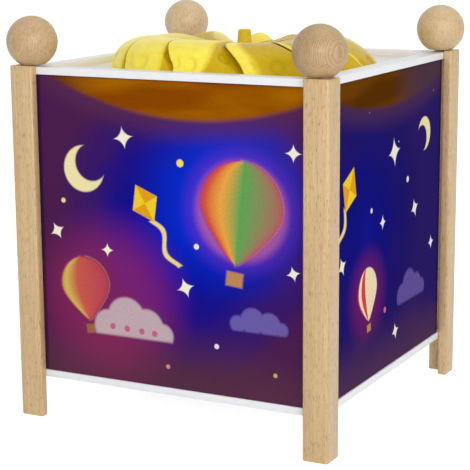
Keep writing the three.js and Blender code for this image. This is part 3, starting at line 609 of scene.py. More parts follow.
def print_kite(tree, base, canvas, middle, size, turn, light, dark, tail_colour, tail_length):
    local = place_motif(tree, canvas, middle, size, turn)
    x, y = (add_node(tree, "SeparateXYZ", local, out=axis) for axis in range(2))
    waves = add_node(tree, "Math", y, TAIL_WAVES, operation="MULTIPLY")
    wave = add_node(tree, "Math", waves, operation="SINE")
    aside = add_node(tree, "Math", wave, TAIL_SWING, x, operation="MULTIPLY_ADD")
    away = add_node(tree, "Math", aside, operation="ABSOLUTE")
    lower = add_node(tree, "Math", y, 1.0 + tail_length / 2, operation="ADD")
    down = add_node(tree, "Math", lower, operation="ABSOLUTE")
    beyond = add_node(tree, "Math", down, tail_length / 2 - TAIL_HALF_WIDTH, operation="SUBTRACT")
    tail = add_node(tree, "Math", away, beyond, operation="MAXIMUM")
    base = print_ink(tree, base, tail, TAIL_HALF_WIDTH, TAIL_BLUR, tail_colour)
    flat = add_node(tree, "Math", y, SAIL_LENGTH, operation="MULTIPLY")
    up = add_node(tree, "Math", flat, operation="ABSOLUTE")
    across = add_node(tree, "Math", x, operation="ABSOLUTE")
    sail = add_node(tree, "Math", across, up, operation="ADD")
    diagonal = add_node(tree, "Math", x, y, operation="MULTIPLY")
    side = add_node(tree, "Math", diagonal, 0.0, operation="GREATER_THAN")
    quarters = add_node(tree, "Mix", {0: side, 6: light, 7: dark}, **COLOUR_MIX)
    return print_ink(tree, base, sail, SAIL_SIZE, SAIL_BLUR, quarters)


print("motif: kite")

# %% [markdown]
# The sky behind the motifs carries most of the look. The lamp's glow is strongest in the middle of a
# panel, where the blue is clear and deep. A colour ramp over the distance from there runs through
# violet to the maroon of the edges, and smoke-like noise bends it. The foot of the panel, far below
# the bulb, falls off to a dark maroon. Far stars are picked out of a Voronoi pattern: each cell has
# a random number, and only some cells light a dot at their middle.

# %% Sky
SMOKE_WIDTH, SMOKE_BEND, SKY_FROM, SKY_TO = 30, 0.36, 0.18, 1.38
FOOT_SMOKE, FOOT_HEIGHT, FOOT_BLUR, FOOT_STRENGTH = 18.0, 46.0, 17.0, 0.8
STAR_BLUR = 0.4


def print_sky(tree, canvas, v, light):
    local = add_node(tree, "Mapping", {"Vector": canvas, "Location": (*light["middle"], 0),
                                       "Scale": (light["wide"], light["tall"], 1)}, vector_type="TEXTURE")
    reach = add_node(tree, "VectorMath", local, operation="LENGTH", out=1)
    smoke = add_node(tree, "TexNoise", {
        "Vector": canvas, "Scale": 1 / SMOKE_WIDTH, "Detail": 3.0, "Roughness": 0.5})
    bent = add_node(tree, "Math", smoke, SMOKE_BEND, reach, operation="MULTIPLY_ADD")
    outwards = add_node(tree, "MapRange", {"Value": bent, "From Min": SKY_FROM, "From Max": SKY_TO})
    colours = add_node(tree, "ValToRGB", outwards)
    ramp = colours.node.color_ramp
    ramp.interpolation = "EASE"
    middle, *between, edge = light["sky"]
    ramp.elements[0].color, ramp.elements[1].color = linear(middle[1]), linear(edge[1])
    for position, colour in between:
        ramp.elements.new(position).color = linear(colour)
    low = add_node(tree, "Math", smoke, FOOT_SMOKE, v, operation="MULTIPLY_ADD")
    return print_ink(tree, colours, low, FOOT_HEIGHT, FOOT_BLUR, light["foot"], FOOT_STRENGTH)


def print_far_stars(tree, base, canvas, spacing, radius, share, colour):
    cells = add_node(tree, "TexVoronoi", {"Vector": canvas, "Scale": 1 / spacing}, out="Distance")
    pick = add_node(tree, "SeparateColor", cells.node.outputs["Color"])
    hidden = add_node(tree, "Math", pick, share, operation="GREATER_THAN")
    reach = add_node(tree, "Math", cells, hidden, operation="ADD")
    return print_ink(tree, base, reach, radius / spacing, radius / spacing * STAR_BLUR, colour)


print("sky ready")

# %% [markdown]
# The skirt of the fan wheel is yellow plastic, and its shadow on the panel is brown amber, with
# slanting folds of light from the vanes above. Its lower edge is a shallow curve, printed soft, with
# a violet haze below it where the shadow ends. The shadow fades out at the left end of the front
# panel, where the photograph shows the sky's maroon reach up to the frame. Beside the posts and
# under the frame the sheet lies in a thin line of shade.

# %% The skirt's shadow
HAZE_DROP, HAZE_STRENGTH, BAND_BLUR = 7.0, 0.75, 1.7
FOLD_SLANT, FOLD_LENGTH, FOLD_WIDTH, FOLD_FROM, FOLD_TO = math.radians(52), 46, 12, 0.36, 0.66
DEEPER_FROM, DEEPER_TO, DEEPER_STRENGTH = -5.0, 0.5, 0.45
END_BLUR, END_STRENGTH = 24.0, 0.92
SHADE_TOP, SHADE_SIDE, SHADE_WIDTH, SHADE_BLUR = 167.5, 70.1, 0.6, 0.9
SHADE_COLOUR, SHADE_STRENGTH = "#120A1E", 0.55


def print_skirt_shadow(tree, base, canvas, u, v, light):
    off = add_node(tree, "Math", u, light["band_middle"], operation="SUBTRACT")
    square = add_node(tree, "Math", off, 2.0, operation="POWER")
    curve = add_node(tree, "Math", square, light["band_bend"], light["band_low"], operation="MULTIPLY_ADD")
    below = add_node(tree, "Math", curve, v, operation="SUBTRACT")
    haze = print_ink(tree, base, below, HAZE_DROP, HAZE_DROP, light["haze"], HAZE_STRENGTH)
    slant = add_node(tree, "Mapping", {"Vector": canvas, "Rotation": (0, 0, FOLD_SLANT),
                                       "Scale": (1 / FOLD_LENGTH, 1 / FOLD_WIDTH, 1)})
    folds = add_node(tree, "TexNoise", {"Vector": slant, "Scale": 1.0, "Detail": 1.5, "Roughness": 0.45})
    fold = add_node(tree, "MapRange", {"Value": folds, "From Min": FOLD_FROM, "From Max": FOLD_TO},
                    interpolation_type="SMOOTHSTEP")
    amber = add_node(tree, "Mix", {0: fold, 6: light["amber_dark"], 7: light["amber"]}, **COLOUR_MIX)
    deeper = add_node(tree, "MapRange", {
        "Value": below, "From Min": DEEPER_FROM, "From Max": DEEPER_TO, "To Min": 0.0,
        "To Max": DEEPER_STRENGTH}, interpolation_type="SMOOTHSTEP")
    amber = add_node(tree, "Mix", {0: deeper, 6: amber, 7: light["amber_dark"]}, **COLOUR_MIX)
    towards_end = add_node(tree, "Math", u, -light["fades_to"], operation="MULTIPLY")
    amber = print_ink(tree, amber, towards_end, light["fade_at"], END_BLUR, light["amber_end"], END_STRENGTH)
    banded = print_ink(tree, haze, below, 0.0, BAND_BLUR, amber)
    top = add_node(tree, "Math", SHADE_TOP, v, operation="SUBTRACT")
    aside = add_node(tree, "Math", u, operation="ABSOLUTE")
    side = add_node(tree, "Math", SHADE_SIDE, aside, operation="SUBTRACT")
    nearest = add_node(tree, "Math", top, side, operation="MINIMUM")
    return print_ink(tree, banded, nearest, SHADE_WIDTH, SHADE_BLUR, SHADE_COLOUR, SHADE_STRENGTH)


print("skirt shadow ready")

# %% [markdown]
# Two pictures serve four panels: the front and back show one, the sides the other. Both are a night
# sky with balloons, kites and clouds. The front has the larger and brighter motifs. A picture is a
# list of motifs, each with its printing function and what that function is given, and the motifs are
# printed one over the other.

# %% The two pictures
def print_picture(tree, base, canvas, motifs):
    for print_motif, *settings in motifs:
        base = print_motif(tree, base, canvas, *settings)
    return base


BALLOON_SKY = [
    (print_far_stars, 14.0, 0.5, 0.22, "#B9B4E8"),
    (print_dot, (30, 116), 34, 22, "#0A34E0", 0.75),
    (print_dot, (37, 110), 27, 7, "#8A3AC0", 0.32),
    (print_dot, (37, 110), 23, 3, "#FF8A3C", 0.3),
    (print_balloon, (37, 112), 21, -6, 1.3, [
        "#B02A4C", "#DB5632", "#EFA83A", "#58A850", "#F0D264", "#E67838", "#C43A62"], "#C48A50", 0.96),
    (print_dot, (-34, 62), 34, 16, "#A02E62", 0.5),
    (print_balloon, (-47, 68), 13.5, 8, 1.2, [
        "#C23A5A", "#D8C456", "#D2604A", "#58A45E", "#D6AC4C", "#B8365A"], "#A06A48", 0.9),
    (print_cloud, (-21, 49), 13, [
        (-1.0, 0, 0.62), (-0.25, 0.35, 0.8), (0.6, 0.1, 0.7), (1.25, -0.12, 0.45)], 0.9, "#CDB6BC", 0.85),
    *[(print_dot, (-21 + across, 48.6 - across * 0.05), 1.5, 0.35, "#C0526E", 0.85)
      for across in (-11, -3, 5, 12)],
    (print_cloud, (46, 58), 10, [
        (-1.1, 0, 0.4), (-0.35, 0.2, 0.62), (0.5, 0.12, 0.56), (1.1, -0.05, 0.34)], 0.8, "#7A6CBC", 0.7),
    (print_crescent, (-46, 124), 11, 24, "#F2E4AE"),
    (print_kite, (-13, 110), 8.4, 30, "#F2CE2E", "#E4A21E", "#F0DC8A", 3.0),
    *[(print_sparkle, middle, size, turn, "#F6EFDC") for middle, size, turn in (
        ((-24, 140), 5.4, 10), ((8, 72), 4.8, 20), ((63, 138), 4.2, 0), ((-62, 93), 4.4, 30),
        ((63, 84), 3.6, 15), ((-34, 86), 3.4, 0))],
    *[(print_dot, middle, size, 0.3, colour) for middle, size, colour in (
        ((6, 130), 1.8, "#F4DE5A"), ((14, 92), 1.3, "#F4EEDC"), ((-58, 108), 1.2, "#E8D8A0"),
        ((24, 46), 1.2, "#E9E2F4"), ((54, 36), 1.0, "#C9B06A"), ((-2, 33), 1.1, "#D88A78"))],
]
KITE_SKY = [
    (print_far_stars, 12.0, 0.5, 0.3, "#D0CCF2"),
    (print_dot, (-24, 64), 19, 9, "#A02A5A", 0.35),
    (print_balloon, (-24, 66), 11.5, 7, 0.5, ["#D8424E", "#F0DCB4"] * 3 + ["#D8424E"], "#C08A50"),
    (print_kite, (-46, 118), 9.5, -26, "#F2CE2E", "#E4A21E", "#F0DC8A", 3.4),
    (print_cloud, (32, 54), 12, [
        (-1.0, 0, 0.5), (-0.2, 0.28, 0.72), (0.6, 0.08, 0.6), (1.2, -0.08, 0.4)], 1.0, "#6E5CA4", 0.75),
    (print_crescent, (48, 132), 8.5, 200, "#EEDFA8"),
    *[(print_sparkle, middle, size, turn, "#F2ECDC") for middle, size, turn in (
        ((8, 128), 7.4, 8), ((36, 96), 5.0, 18), ((-6, 96), 3.8, 0), ((-54, 84), 4.8, 24),
        ((12, 38), 4.4, 12), ((60, 74), 3.8, 5))],
    *[(print_dot, middle, size, 0.3, colour) for middle, size, colour in (
        ((26, 112), 1.5, "#F0E6C8"), ((-20, 104), 1.2, "#F0E6C8"), ((-2, 52), 1.5, "#D86A78"))],
]
print("motifs in the pictures:", len(BALLOON_SKY), "and", len(KITE_SKY))

# %% [markdown]
# The sheet is styrene, printed on its outer face and white on its inner one, where the depth into
# the panel tells the two apart. Lit from behind, it gives off its own picture: half of what is seen
# is light that comes through, so the picture feeds the emission at half strength, and half is light
# that falls on the print. The print is a dead matt ink, so it has no gloss at all.

# %% Panel material
FRONT_LIGHT = {
    "middle": (10, 100), "wide": 62.0, "tall": 60.0, "foot": "#5A3444", "haze": "#5A2C52",
    "sky": [(0.0, "#0A1AB8"), (0.3, "#0C129C"), (0.5, "#18128A"), (0.76, "#3A1A6A"), (1.0, "#4C2050")],
    "band_middle": 12.0, "band_bend": 0.003, "band_low": 149.6,
    "amber": "#A86602", "amber_dark": "#8A4602", "amber_end": "#4C1C18", "fades_to": -1, "fade_at": -50.0}
# The sides' sky and amber are painted darker than the front's: painted shade on the side panels.
SIDE_LIGHT = {
    "middle": (-26, 96), "wide": 62.0, "tall": 60.0, "foot": "#56364E", "haze": "#503050",
    "sky": [(0.0, "#16168A"), (0.3, "#14147C"), (0.55, "#1E166E"), (0.8, "#241866"), (1.0, "#2A1C64")],
    "band_middle": 2.0, "band_bend": 0.002, "band_low": 150.8,
    "amber": "#6E3E0A", "amber_dark": "#573006", "amber_end": "#4A3648", "fades_to": 1, "fade_at": -24.0}
PANEL_GLOW, INNER_FACE_DEPTH, INNER_COLOUR = 0.5, -76.1, "#F4F4F6"
WEAVE_WIDTH, WEAVE_STRENGTH = 0.9, 0.14
PANELS = {
    "front": (0, FRONT_LIGHT, BALLOON_SKY), "right": (1, SIDE_LIGHT, KITE_SKY),
    "back": (2, FRONT_LIGHT, BALLOON_SKY), "left": (3, SIDE_LIGHT, KITE_SKY),
}


def print_panel_material(name, turn, light, motifs):
    material, tree, shader = start_material(name, 0.45)
    canvas, u, depth, v = panel_canvas(tree, turn)
    picture = print_picture(tree, print_sky(tree, canvas, v, light), canvas, motifs)
    picture = print_skirt_shadow(tree, picture, canvas, u, v, light)
    weave = add_node(tree, "TexNoise", {"Vector": canvas, "Scale": 1 / WEAVE_WIDTH, "Detail": 1.0})
    fine = add_node(tree, "MapRange", {
        "Value": weave, "To Min": 1 - WEAVE_STRENGTH, "To Max": 1 + WEAVE_STRENGTH})
    picture = add_node(tree, "VectorMath", {0: picture, "Scale": fine}, operation="SCALE")
    inner = add_node(tree, "Math", depth, INNER_FACE_DEPTH, operation="GREATER_THAN")
    sheet = add_node(tree, "Mix", {0: inner, 6: picture, 7: INNER_COLOUR}, **COLOUR_MIX)
    ink = add_node(tree, "VectorMath", {0: sheet, "Scale": 1 - PANEL_GLOW}, operation="SCALE")
    feed(shader, {"Base Color": ink, "Emission Color": sheet, "Emission Strength": PANEL_GLOW,
                  "Specular IOR Level": 0.0})
    return material


panel_prints = {}
for side, (quarters, light, motifs) in PANELS.items():
    name = f"printed_translucent_styrene_{side}"
    panel_prints[side] = print_panel_material(name, quarters * math.pi / 2, light, motifs)
print("picture nodes:", [len(m.node_tree.nodes) for m in panel_prints.values()])

# %% [markdown]
# The sheets themselves are plain rectangles, cut with a guillotine and held in the boards' grooves.
# A cube is stretched to the sheet, and its edges get the small break that a cut edge has.

# %% Panel sheets
SHEET_BREAK = mm(0.15)
for side, panel_print in panel_prints.items():
    low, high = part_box(f"panel_{side}")
    size, middle = high - low, (low + high) / 2
    bm = bmesh.new()
    bmesh.ops.create_cube(bm, size=1, matrix=Matrix.Translation(middle) @ Matrix.Diagonal((*size, 1)))
    soften(bm, SHEET_BREAK, 1, degrees=60)
    finish_piece(f"picture_sheet_{side}", bm, panel_print, "lantern", f"panel_{side}")
print("panel:", [round(in_mm(length), 1) for length in size], "mm")

# %% [markdown]
# ## The fan wheel
#
# The wheel is vacuum-formed from thin, clear yellow styrene: a hub with a hollow boss, a skirt, and
# twelve vanes like overlapping scoops. A vane starts at its free edge, which reaches over the vane
# before it, rises to a crease, and falls behind it to a low edge under the next vane. The sheets were
# bent by hand after forming, so no two vanes are alike. Nine numbers describe a vane: its lift, how
# far it overlaps, how much of the lift the free edge keeps, where the crease lies at the hub and at
# the rim, how steeply it falls behind the crease, how square its shoulder is, how much of the lift it
# keeps near the hub, and how much of it, from the free edge on, is painted in the lit lemon colour
# rather than in olive painted shade.

# %% Vane sizes
VANES = [
    (0.92, 0.36, 1, 0.9, 0.93, 1, 1.5, 1, 0.1), (0.9, 0.36, 1, 0.5, 0.5, 1.4, 1.6, 1, 0.05),
    (0.75, 0.36, 1, 0.28, 0.3, 2.6, 1.9, 0.6, 0.1), (0.8, 0.62, 0.5, 0.33, 0.25, 6, 2.2, 0.6, 1),
    (0.9, 0.75, 0.35, 0.44, 0.3, 1.8, 2.2, 1, 1), (0.9, 0.36, 1, 0.9, 0.8, 1, 2.4, 1, 1),
    (0.97, 0.36, 1, 0.9, 0.9, 1, 2.4, 1, 1), (1.04, 0.36, 1, 0.92, 0.76, 1, 2.4, 1, 1),
    (1.06, 0.42, 1, 0.95, 0.31, 1, 2.4, 1, 1), (0.95, 0.36, 1, 0.9, 0.93, 1, 2.2, 1, 0.3),
    (0.93, 0.36, 1, 0.9, 0.93, 1, 2, 1, 0.05), (0.93, 0.36, 1, 0.9, 0.93, 1, 1.6, 1, 0.05),
]
HUB_EDGE, CREST_RADIUS, RIM_RADIUS = 8.6, 46.0, 65.05
HUB_HEIGHT, CREST_HEIGHT, RIM_HEIGHT, RIM_TUCK = 175.5, 182.0, 165.5, 1.0
PITCH = math.tau / len(VANES)
VANE_WALL, FIRST_EDGE, UNDERLAP = 0.8, 0.9, 0.02
TUCKED_SHARE, CREASE_COLUMNS, EDGE_CROWDING = 0.05, 0.55, 1.5
DIP_ENDS, DIP_LENGTH, HUB_ROUND, LEAN_POWER, CREASE_POWER = 0.5, 0.25, 1.5, 1.7, 1.3


def vane_profile(along, shoulder):
    """Radius and full height of a vane at a place from hub to rim, 0 to 1."""
    if along < 0.5:
        radius = HUB_EDGE + (CREST_RADIUS - HUB_EDGE) * along * 2
        return radius, HUB_HEIGHT + (CREST_HEIGHT - HUB_HEIGHT) * math.sin(math.pi * along)
    angle, power = math.pi * (along - 0.5), 2 / shoulder
    radius = CREST_RADIUS + (RIM_RADIUS - CREST_RADIUS) * math.sin(angle) ** power
    return radius, RIM_HEIGHT + (CREST_HEIGHT - RIM_HEIGHT) * max(math.cos(angle), 0) ** power


def vane_point(vane, along, across):
    """The place of a point on a vane, along from hub to rim and across from its free edge, each 0 to 1."""
    lift, overlap, edge, hub_crease, rim_crease, fall, shoulder, kept, thin = VANES[vane]
    untucked = min(along / (1 - TUCKED_SHARE), 1)
    near_hub = min(max((DIP_ENDS - untucked) / DIP_LENGTH, 0), 1)
    lift *= 1 - (1 - kept) * near_hub * near_hub * (3 - 2 * near_hub)
    radius, high = vane_profile(untucked, shoulder)
    share = min(max((radius - HUB_EDGE) / (RIM_RADIUS - HUB_EDGE), 0), 1)
    low = RIM_HEIGHT + (HUB_HEIGHT - RIM_HEIGHT) * (1 - share ** HUB_ROUND) ** (1 / HUB_ROUND)
    lean = overlap * math.sin(math.pi * share ** LEAN_POWER)
    width = 1 + lean + UNDERLAP
    down_the_shoulder = max(untucked * 2 - 1, 0) ** CREASE_POWER
    crease = (hub_crease + (rim_crease - hub_crease) * down_the_shoulder) / width
    if across <= CREASE_COLUMNS:
        step = (across / CREASE_COLUMNS) ** EDGE_CROWDING
        column = crease * step
        rise = edge + (1 - edge) * math.sin(math.pi / 2 * step)
    else:
        step = (across - CREASE_COLUMNS) / (1 - CREASE_COLUMNS)
        column = crease + (1 - crease) * step
        rise = max(1 - step, 0) ** fall
    angle = PITCH * (vane + FIRST_EDGE - lean + column * width)
    tucked = RIM_TUCK * max(along - 1 + TUCKED_SHARE, 0) / TUCKED_SHARE
    height = low + (high - low) * lift * rise - tucked
    return Vector((mm(radius * math.cos(angle)), mm(radius * math.sin(angle)), mm(height)))


print("vane pitch:", round(math.degrees(PITCH), 1), "degrees")

# %% [markdown]
# The styrene's light and shade are painted into its colour. The lit scoops are painted lemon yellow,
# with paler lemon streaks at random. The slopes behind the creases, the hub, the skirt and most of
# five neighbouring vanes are painted in olive yellow shade, the free cut edge in a dark olive line of
# painted shade, and each dimple's rim in a ring of deeper painted shade. The mesh carries this painted
# shade as an attribute, so it follows each vane's own shape. Subsurface scattering carries light
# through the wall, a faint glow stands for the light of the bulb below, and slow ripples are left from
# the forming.

# %% Yellow styrene
RIPPLE_WIDTH, RIPPLE_DEPTH, PALE_STREAK_WIDTH, YELLOW_GLOW = 10, 1.1, 6, 0.14
# Lemon is the styrene's painted lit colour, olive its painted shade, and the dark olive the painted shade of
# the cut edge.
LIT_YELLOW, PALEST_LIT_YELLOW, SHADED_YELLOW, EDGE_SHADE_YELLOW = "#F3DA30", "#FFF06C", "#C8A70C", "#6E5204"


def scatter_light(shader, weight, *radii_mm):
    feed(shader, {"Subsurface Weight": weight, "Subsurface Radius": tuple(mm(radius) for radius in radii_mm),
                  "Subsurface Scale": 1.0})


yellow_styrene, tree, shader = start_material("clear_yellow_styrene_vacuum_formed", 0.3)
place = add_node(tree, "TexCoord", out="Object")
ripple = add_node(tree, "TexNoise", {
    "Vector": place, "Scale": 1 / mm(RIPPLE_WIDTH), "Detail": 3.0, "Distortion": 1.4})
streak = add_node(tree, "TexNoise", {
    "Vector": place, "Scale": 1 / mm(PALE_STREAK_WIDTH), "Detail": 2.0, "Distortion": 2.0})
# The attribute read here is the painted shade: 0 lit lemon, 1 olive shade, 2 the dark line at the cut edge.
depth = add_node(tree, "Attribute", attribute_name="painted_shade", out="Fac")
thin = add_node(tree, "Mix", {0: streak, 6: LIT_YELLOW, 7: PALEST_LIT_YELLOW}, **COLOUR_MIX)
tint = add_node(tree, "Mix", {0: depth, 6: thin, 7: SHADED_YELLOW}, **COLOUR_MIX)
cut = add_node(tree, "MapRange", {"Value": depth, "From Min": 1.0, "From Max": 2.0})
tint = add_node(tree, "Mix", {0: cut, 6: tint, 7: EDGE_SHADE_YELLOW}, **COLOUR_MIX)
bump = add_node(tree, "Bump", {"Height": ripple, "Strength": 1.0, "Distance": mm(RIPPLE_DEPTH)})
feed(shader, {"Base Color": tint, "Emission Color": tint, "Emission Strength": YELLOW_GLOW, "Normal": bump,
              "Specular IOR Level": 0.14})
scatter_light(shader, 0.2, 1.6, 1.4, 0.4)
print(yellow_styrene.name)

# %% [markdown]
# The hub and the skirt are bodies of revolution. A vane starts as a flat grid of squares, whose
# points are moved to the vane's surface row by row. Over half of the columns lie before the crease,
# crowded towards the free edge, so that one line of points runs along the crease and keeps it crisp.
# Shallow round dimples stiffen each vane. They are pressed in square to the sheet, with flat bottoms
# and steep rims, and a ring of painted shade is laid on each rim. Solidify then gives the sheet its
# wall.

# %% Fan wheel
DIMPLES = [(0.82, 0.37, 4.2), (0.82, 0.15, 3.2), (0.66, 0.715, 4.2)]
DIMPLE_DEPTH, RING_PLACE, RING_WIDTH, RING_SHADE = 0.7, 0.75, 0.25, 0.25
# The next two lines size the painted shade: the dark cut edge, the olive past the lit share, behind the
# crease and by the hub.
CUT_WIDTH, LIT_SHARE_TAPER, SHADE_BLEND, SLOPE_BLEND, SLOPE_START = 0.9, 0.6, 0.15, 0.05, 0.4
HUB_REACH, HUB_STRENGTH, HUB_SHADE = 0.35, 1.2, 0.85
SKIRT_PROFILE = [(65.1, 142.5), (66.0, 142.5), (65.5, 165.3), (64.6, 165.3), (65.1, 142.5)]
HUB_PROFILE = [
    (0, 184.4), (2.2, 184.4), (2.9, 175.05), (9.6, 175.05), (9.6, 175.95), (5.4, 175.95), (4.5, 176.15),
    (3.95, 176.7), (3.75, 177.6), (3.15, 184.3), (2.95, 185.0), (2.5, 185.3), (0, 185.3)]


def press_dimples(sheet, layer, vane):
    """Presses the dimples into a vane. Each has a place along and across it, and a radius in mm."""
    for along, across, radius in DIMPLES:
        middle = vane_point(vane, along, across)
        for point in sheet.verts:
            reach = min((point.co - middle).length / mm(radius), 1)
            point.co -= point.normal * mm(DIMPLE_DEPTH) * (0.5 + 0.5 * math.cos(math.pi * reach ** 3))
            # A ring of painted shade is laid on each dimple's rim.
            point[layer] += RING_SHADE * max(1 - abs(reach - RING_PLACE) / RING_WIDTH, 0) if reach < 1 else 0


def vane_painted_shade(vane, along, across, point):
    """How much painted shade a point gets: a dark line at the cut edge, and olive shade on the slope behind
    the crease, by the hub and past the vane's lit share.
    """
    edge = 2 - 2 * (point - vane_point(vane, along, 0)).length / mm(CUT_WIDTH)
    thin = VANES[vane][-1]
    before_crease = min(across / CREASE_COLUMNS, 1) ** EDGE_CROWDING
    shade_past_lit_share = (before_crease - thin * (1 - LIT_SHARE_TAPER * along)) / SHADE_BLEND if thin < 1 else 0
    slope = (across - CREASE_COLUMNS) / SLOPE_BLEND + SLOPE_START
    by_hub = HUB_STRENGTH - along / HUB_REACH
    return max(edge, min(max(shade_past_lit_share, slope, by_hub, 0), 1))


def add_vane(bm, vane, rows=52, columns=61):
    sheet = bmesh.new()
    bmesh.ops.create_grid(sheet, x_segments=rows, y_segments=columns, size=0.5)
    layer = sheet.verts.layers.float.new("painted_shade")
    for point in sheet.verts:
        along, across = point.co.x + 0.5, point.co.y + 0.5
        point.co = vane_point(vane, along, across)
        point[layer] = vane_painted_shade(vane, along, across, point.co)
    bmesh.ops.recalc_face_normals(sheet, faces=sheet.faces)
    if sum(face.normal.z for face in sheet.faces) < 0:
        bmesh.ops.reverse_faces(sheet, faces=sheet.faces)
    sheet.normal_update()
    press_dimples(sheet, layer, vane)
    bmesh.ops.translate(sheet, verts=sheet.verts, vec=(0, 0, -mm(VANE_WALL) / 2))
    bmesh.ops.solidify(sheet, geom=sheet.faces, thickness=-mm(VANE_WALL))
    add_to(bm, sheet)


bm = bmesh.new()
painted_shade = bm.verts.layers.float.new("painted_shade")
spin_profile(bm, SKIRT_PROFILE, 144)
hub = bmesh.new()
spin_profile(hub, HUB_PROFILE, 48)
add_to(bm, hub)
# The skirt and the hub are painted in olive shade all over.
for vert in bm.verts:
    vert[painted_shade] = HUB_SHADE
for vane in range(len(VANES)):
    add_vane(bm, vane)
fan_wheel = finish_piece("yellow_fan_wheel", bm, yellow_styrene, "drum", "fan_wheel", 50)
# The mean of the painted shade over the wheel.
shade_values = [value.value for value in fan_wheel.data.attributes["painted_shade"].data]
print("fan wheel faces:", len(fan_wheel.data.polygons), "colour depth:", round(sum(shade_values) / len(shade_values), 2))

# %% [markdown]
# ## The picture drum
#
# The drum is a strip of clear film, printed with its own sky and rolled up inside the skirt. It is
# hardly seen at rest, but lifted out it shows its whole print. The strip is painted like a panel,
# with the distance round the drum for `u`, and its design comes three times round.

# %% Drum film
FILM_RADIUS, FILM_WALL, REPEATS, BEHIND_SKIRT = 64.8, 0.6, 3, 11
FILM_SKY = [
    (print_balloon, (-32, 104), 16, 5, 0.4, [
        "#D8404A", "#F0A040", "#F4E2B0", "#4FA84A", "#F4E2B0", "#F0A040", "#D8404A"], "#B98250"),
    (print_cloud, (30, 64), 13, [(-1.0, 0, 0.6), (-0.2, 0.3, 0.8), (0.7, 0.05, 0.65)], 0.5, "#E6DCF0", 0.9),
    (print_kite, (22, 112), 8, -18, "#F4D83A", "#E86A34", "#F0E3A0", 3.0),
    *[(print_sparkle, middle, size, 12, "#F6F2DC") for middle, size in (
        ((0, 130), 5), ((52, 100), 4), ((-58, 66), 5), ((4, 84), 3.4), ((-14, 52), 4))],
]
foot, top = (in_mm(corner.z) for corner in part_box("picture_drum"))
material, tree, shader = start_material("printed_clear_film", 0.22)
place = add_node(tree, "TexCoord", out="Object")
x, y, z = (add_node(tree, "SeparateXYZ", place, out=axis) for axis in range(3))
angle = add_node(tree, "Math", y, x, operation="ARCTAN2")
around = add_node(tree, "Math", angle, FILM_RADIUS, operation="MULTIPLY")
repeat = math.tau * FILM_RADIUS / REPEATS
u = add_node(tree, "Math", around, repeat / 2, -repeat / 2, operation="WRAP")
v = add_node(tree, "Math", z, in_mm(1.0), operation="MULTIPLY")
canvas = add_node(tree, "CombineXYZ", u, v)
rise = add_node(tree, "MapRange", {"Value": v, "From Min": foot, "From Max": top - BEHIND_SKIRT})
film = add_node(tree, "Mix", {0: rise, 6: "#4A2C9A", 7: "#1A1AA8"}, **COLOUR_MIX)
feed(shader, {"Base Color": print_picture(tree, film, canvas, FILM_SKY)})
scatter_light(shader, 0.25, 1.5, 1.5, 1.5)
bm = bmesh.new()
spin_profile(bm, band_profile(FILM_RADIUS - FILM_WALL, FILM_RADIUS, foot, top), 144)
finish_piece("picture_film", bm, material, "drum", "picture_drum")
print("film height:", round(top - foot, 1), "mm")

# %% [markdown]
# A hoop of the same yellow styrene sits inside the foot of the drum and keeps it round. Its section
# is a flat band with small chamfers, turned round the drum's axis.

# %% Hoop
HOOP_INSIDE, HOOP_OUTSIDE, HOOP_CHAMFER = 62.1, 63.9, 0.4
foot, top = (in_mm(corner.z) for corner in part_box("drum_hoop"))
bm = bmesh.new()
spin_profile(bm, band_profile(HOOP_INSIDE, HOOP_OUTSIDE, foot, top), 144)
soften(bm, mm(HOOP_CHAMFER), 1, degrees=60)
finish_piece("yellow_drum_hoop", bm, yellow_styrene, "drum", "drum_hoop", 50)
print("hoop height:", round(top - foot, 1), "mm")

# %% [markdown]
# ## Spindle, lampholder and bulb
#
# The drum turns on the point of a steel needle, in a brass ferrule on top of a bent wire. The wire's
# legs plug into two brass sockets in the base board. Metal is shown by its reflections, so these
# materials are a colour, a roughness with a fine drawn or turned texture, and full metallic. The
# marks of drawing run along the wire and those of a lathe run round, so the pattern is stretched in
# a different direction for each.

# %% Metals
SHINIER, DULLER, MARK_DEPTH = 0.08, 0.12, 0.02


def make_metal(name, colour, roughness, streak_mm, streak_length_mm, strength):
    material, tree, shader = start_material(name, roughness, metallic=1.0)
    place = add_node(tree, "TexCoord", out="Object")
    drawn = add_node(tree, "Mapping", {"Vector": place, "Scale": (
        1 / mm(streak_mm), 1 / mm(streak_mm), 1 / mm(streak_length_mm))})
    streaks = add_node(tree, "TexNoise", {"Vector": drawn, "Scale": 1.0, "Detail": 2.0})
    dull = add_node(tree, "MapRange", {
        "Value": streaks, "To Min": roughness - SHINIER, "To Max": roughness + DULLER})
    bump = add_node(tree, "Bump", {"Height": streaks, "Strength": strength, "Distance": mm(MARK_DEPTH)})
    feed(shader, {"Base Color": colour, "Roughness": dull, "Normal": bump})
    return material


zinc_steel = make_metal("zinc_plated_steel_wire", "#C4C6CA", 0.3,
                        streak_mm=0.4, streak_length_mm=6.0, strength=0.2)
bright_brass = make_metal("bright_turned_brass", "#D9AE5A", 0.24,
                          streak_mm=3.0, streak_length_mm=0.3, strength=0.2)
print("metals:", zinc_steel.name, bright_brass.name)

# %% [markdown]
# The arch is one length of round wire. A circle is extruded up the first leg, spun half a turn round
# the bend's middle, and extruded down the second leg, so the bend flows out of the legs as it does
# in a bending jig.

# %% Wire arch
ARCH_HALF_SPAN, ARCH_TOP, WIRE_RADIUS = mm(32), mm(140), mm(1.2)
arch_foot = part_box("wire_arch")[0].z
bend_height = ARCH_TOP - ARCH_HALF_SPAN


def pull_end(bm, ring, rise):
    """Extrudes a level ring of edges by a rise, down if it is negative, and gives back the new ring."""
    pulled = bmesh.ops.extrude_edge_only(bm, edges=ring)["geom"]
    bmesh.ops.translate(bm, verts=only(bmesh.types.BMVert, pulled), vec=(0, 0, rise))
    level = arch_foot + rise if rise > 0 else arch_foot
    return [edge for edge in only(bmesh.types.BMEdge, pulled)
            if all(abs(vert.co.z - level) < SAME_PLACE for vert in edge.verts)]


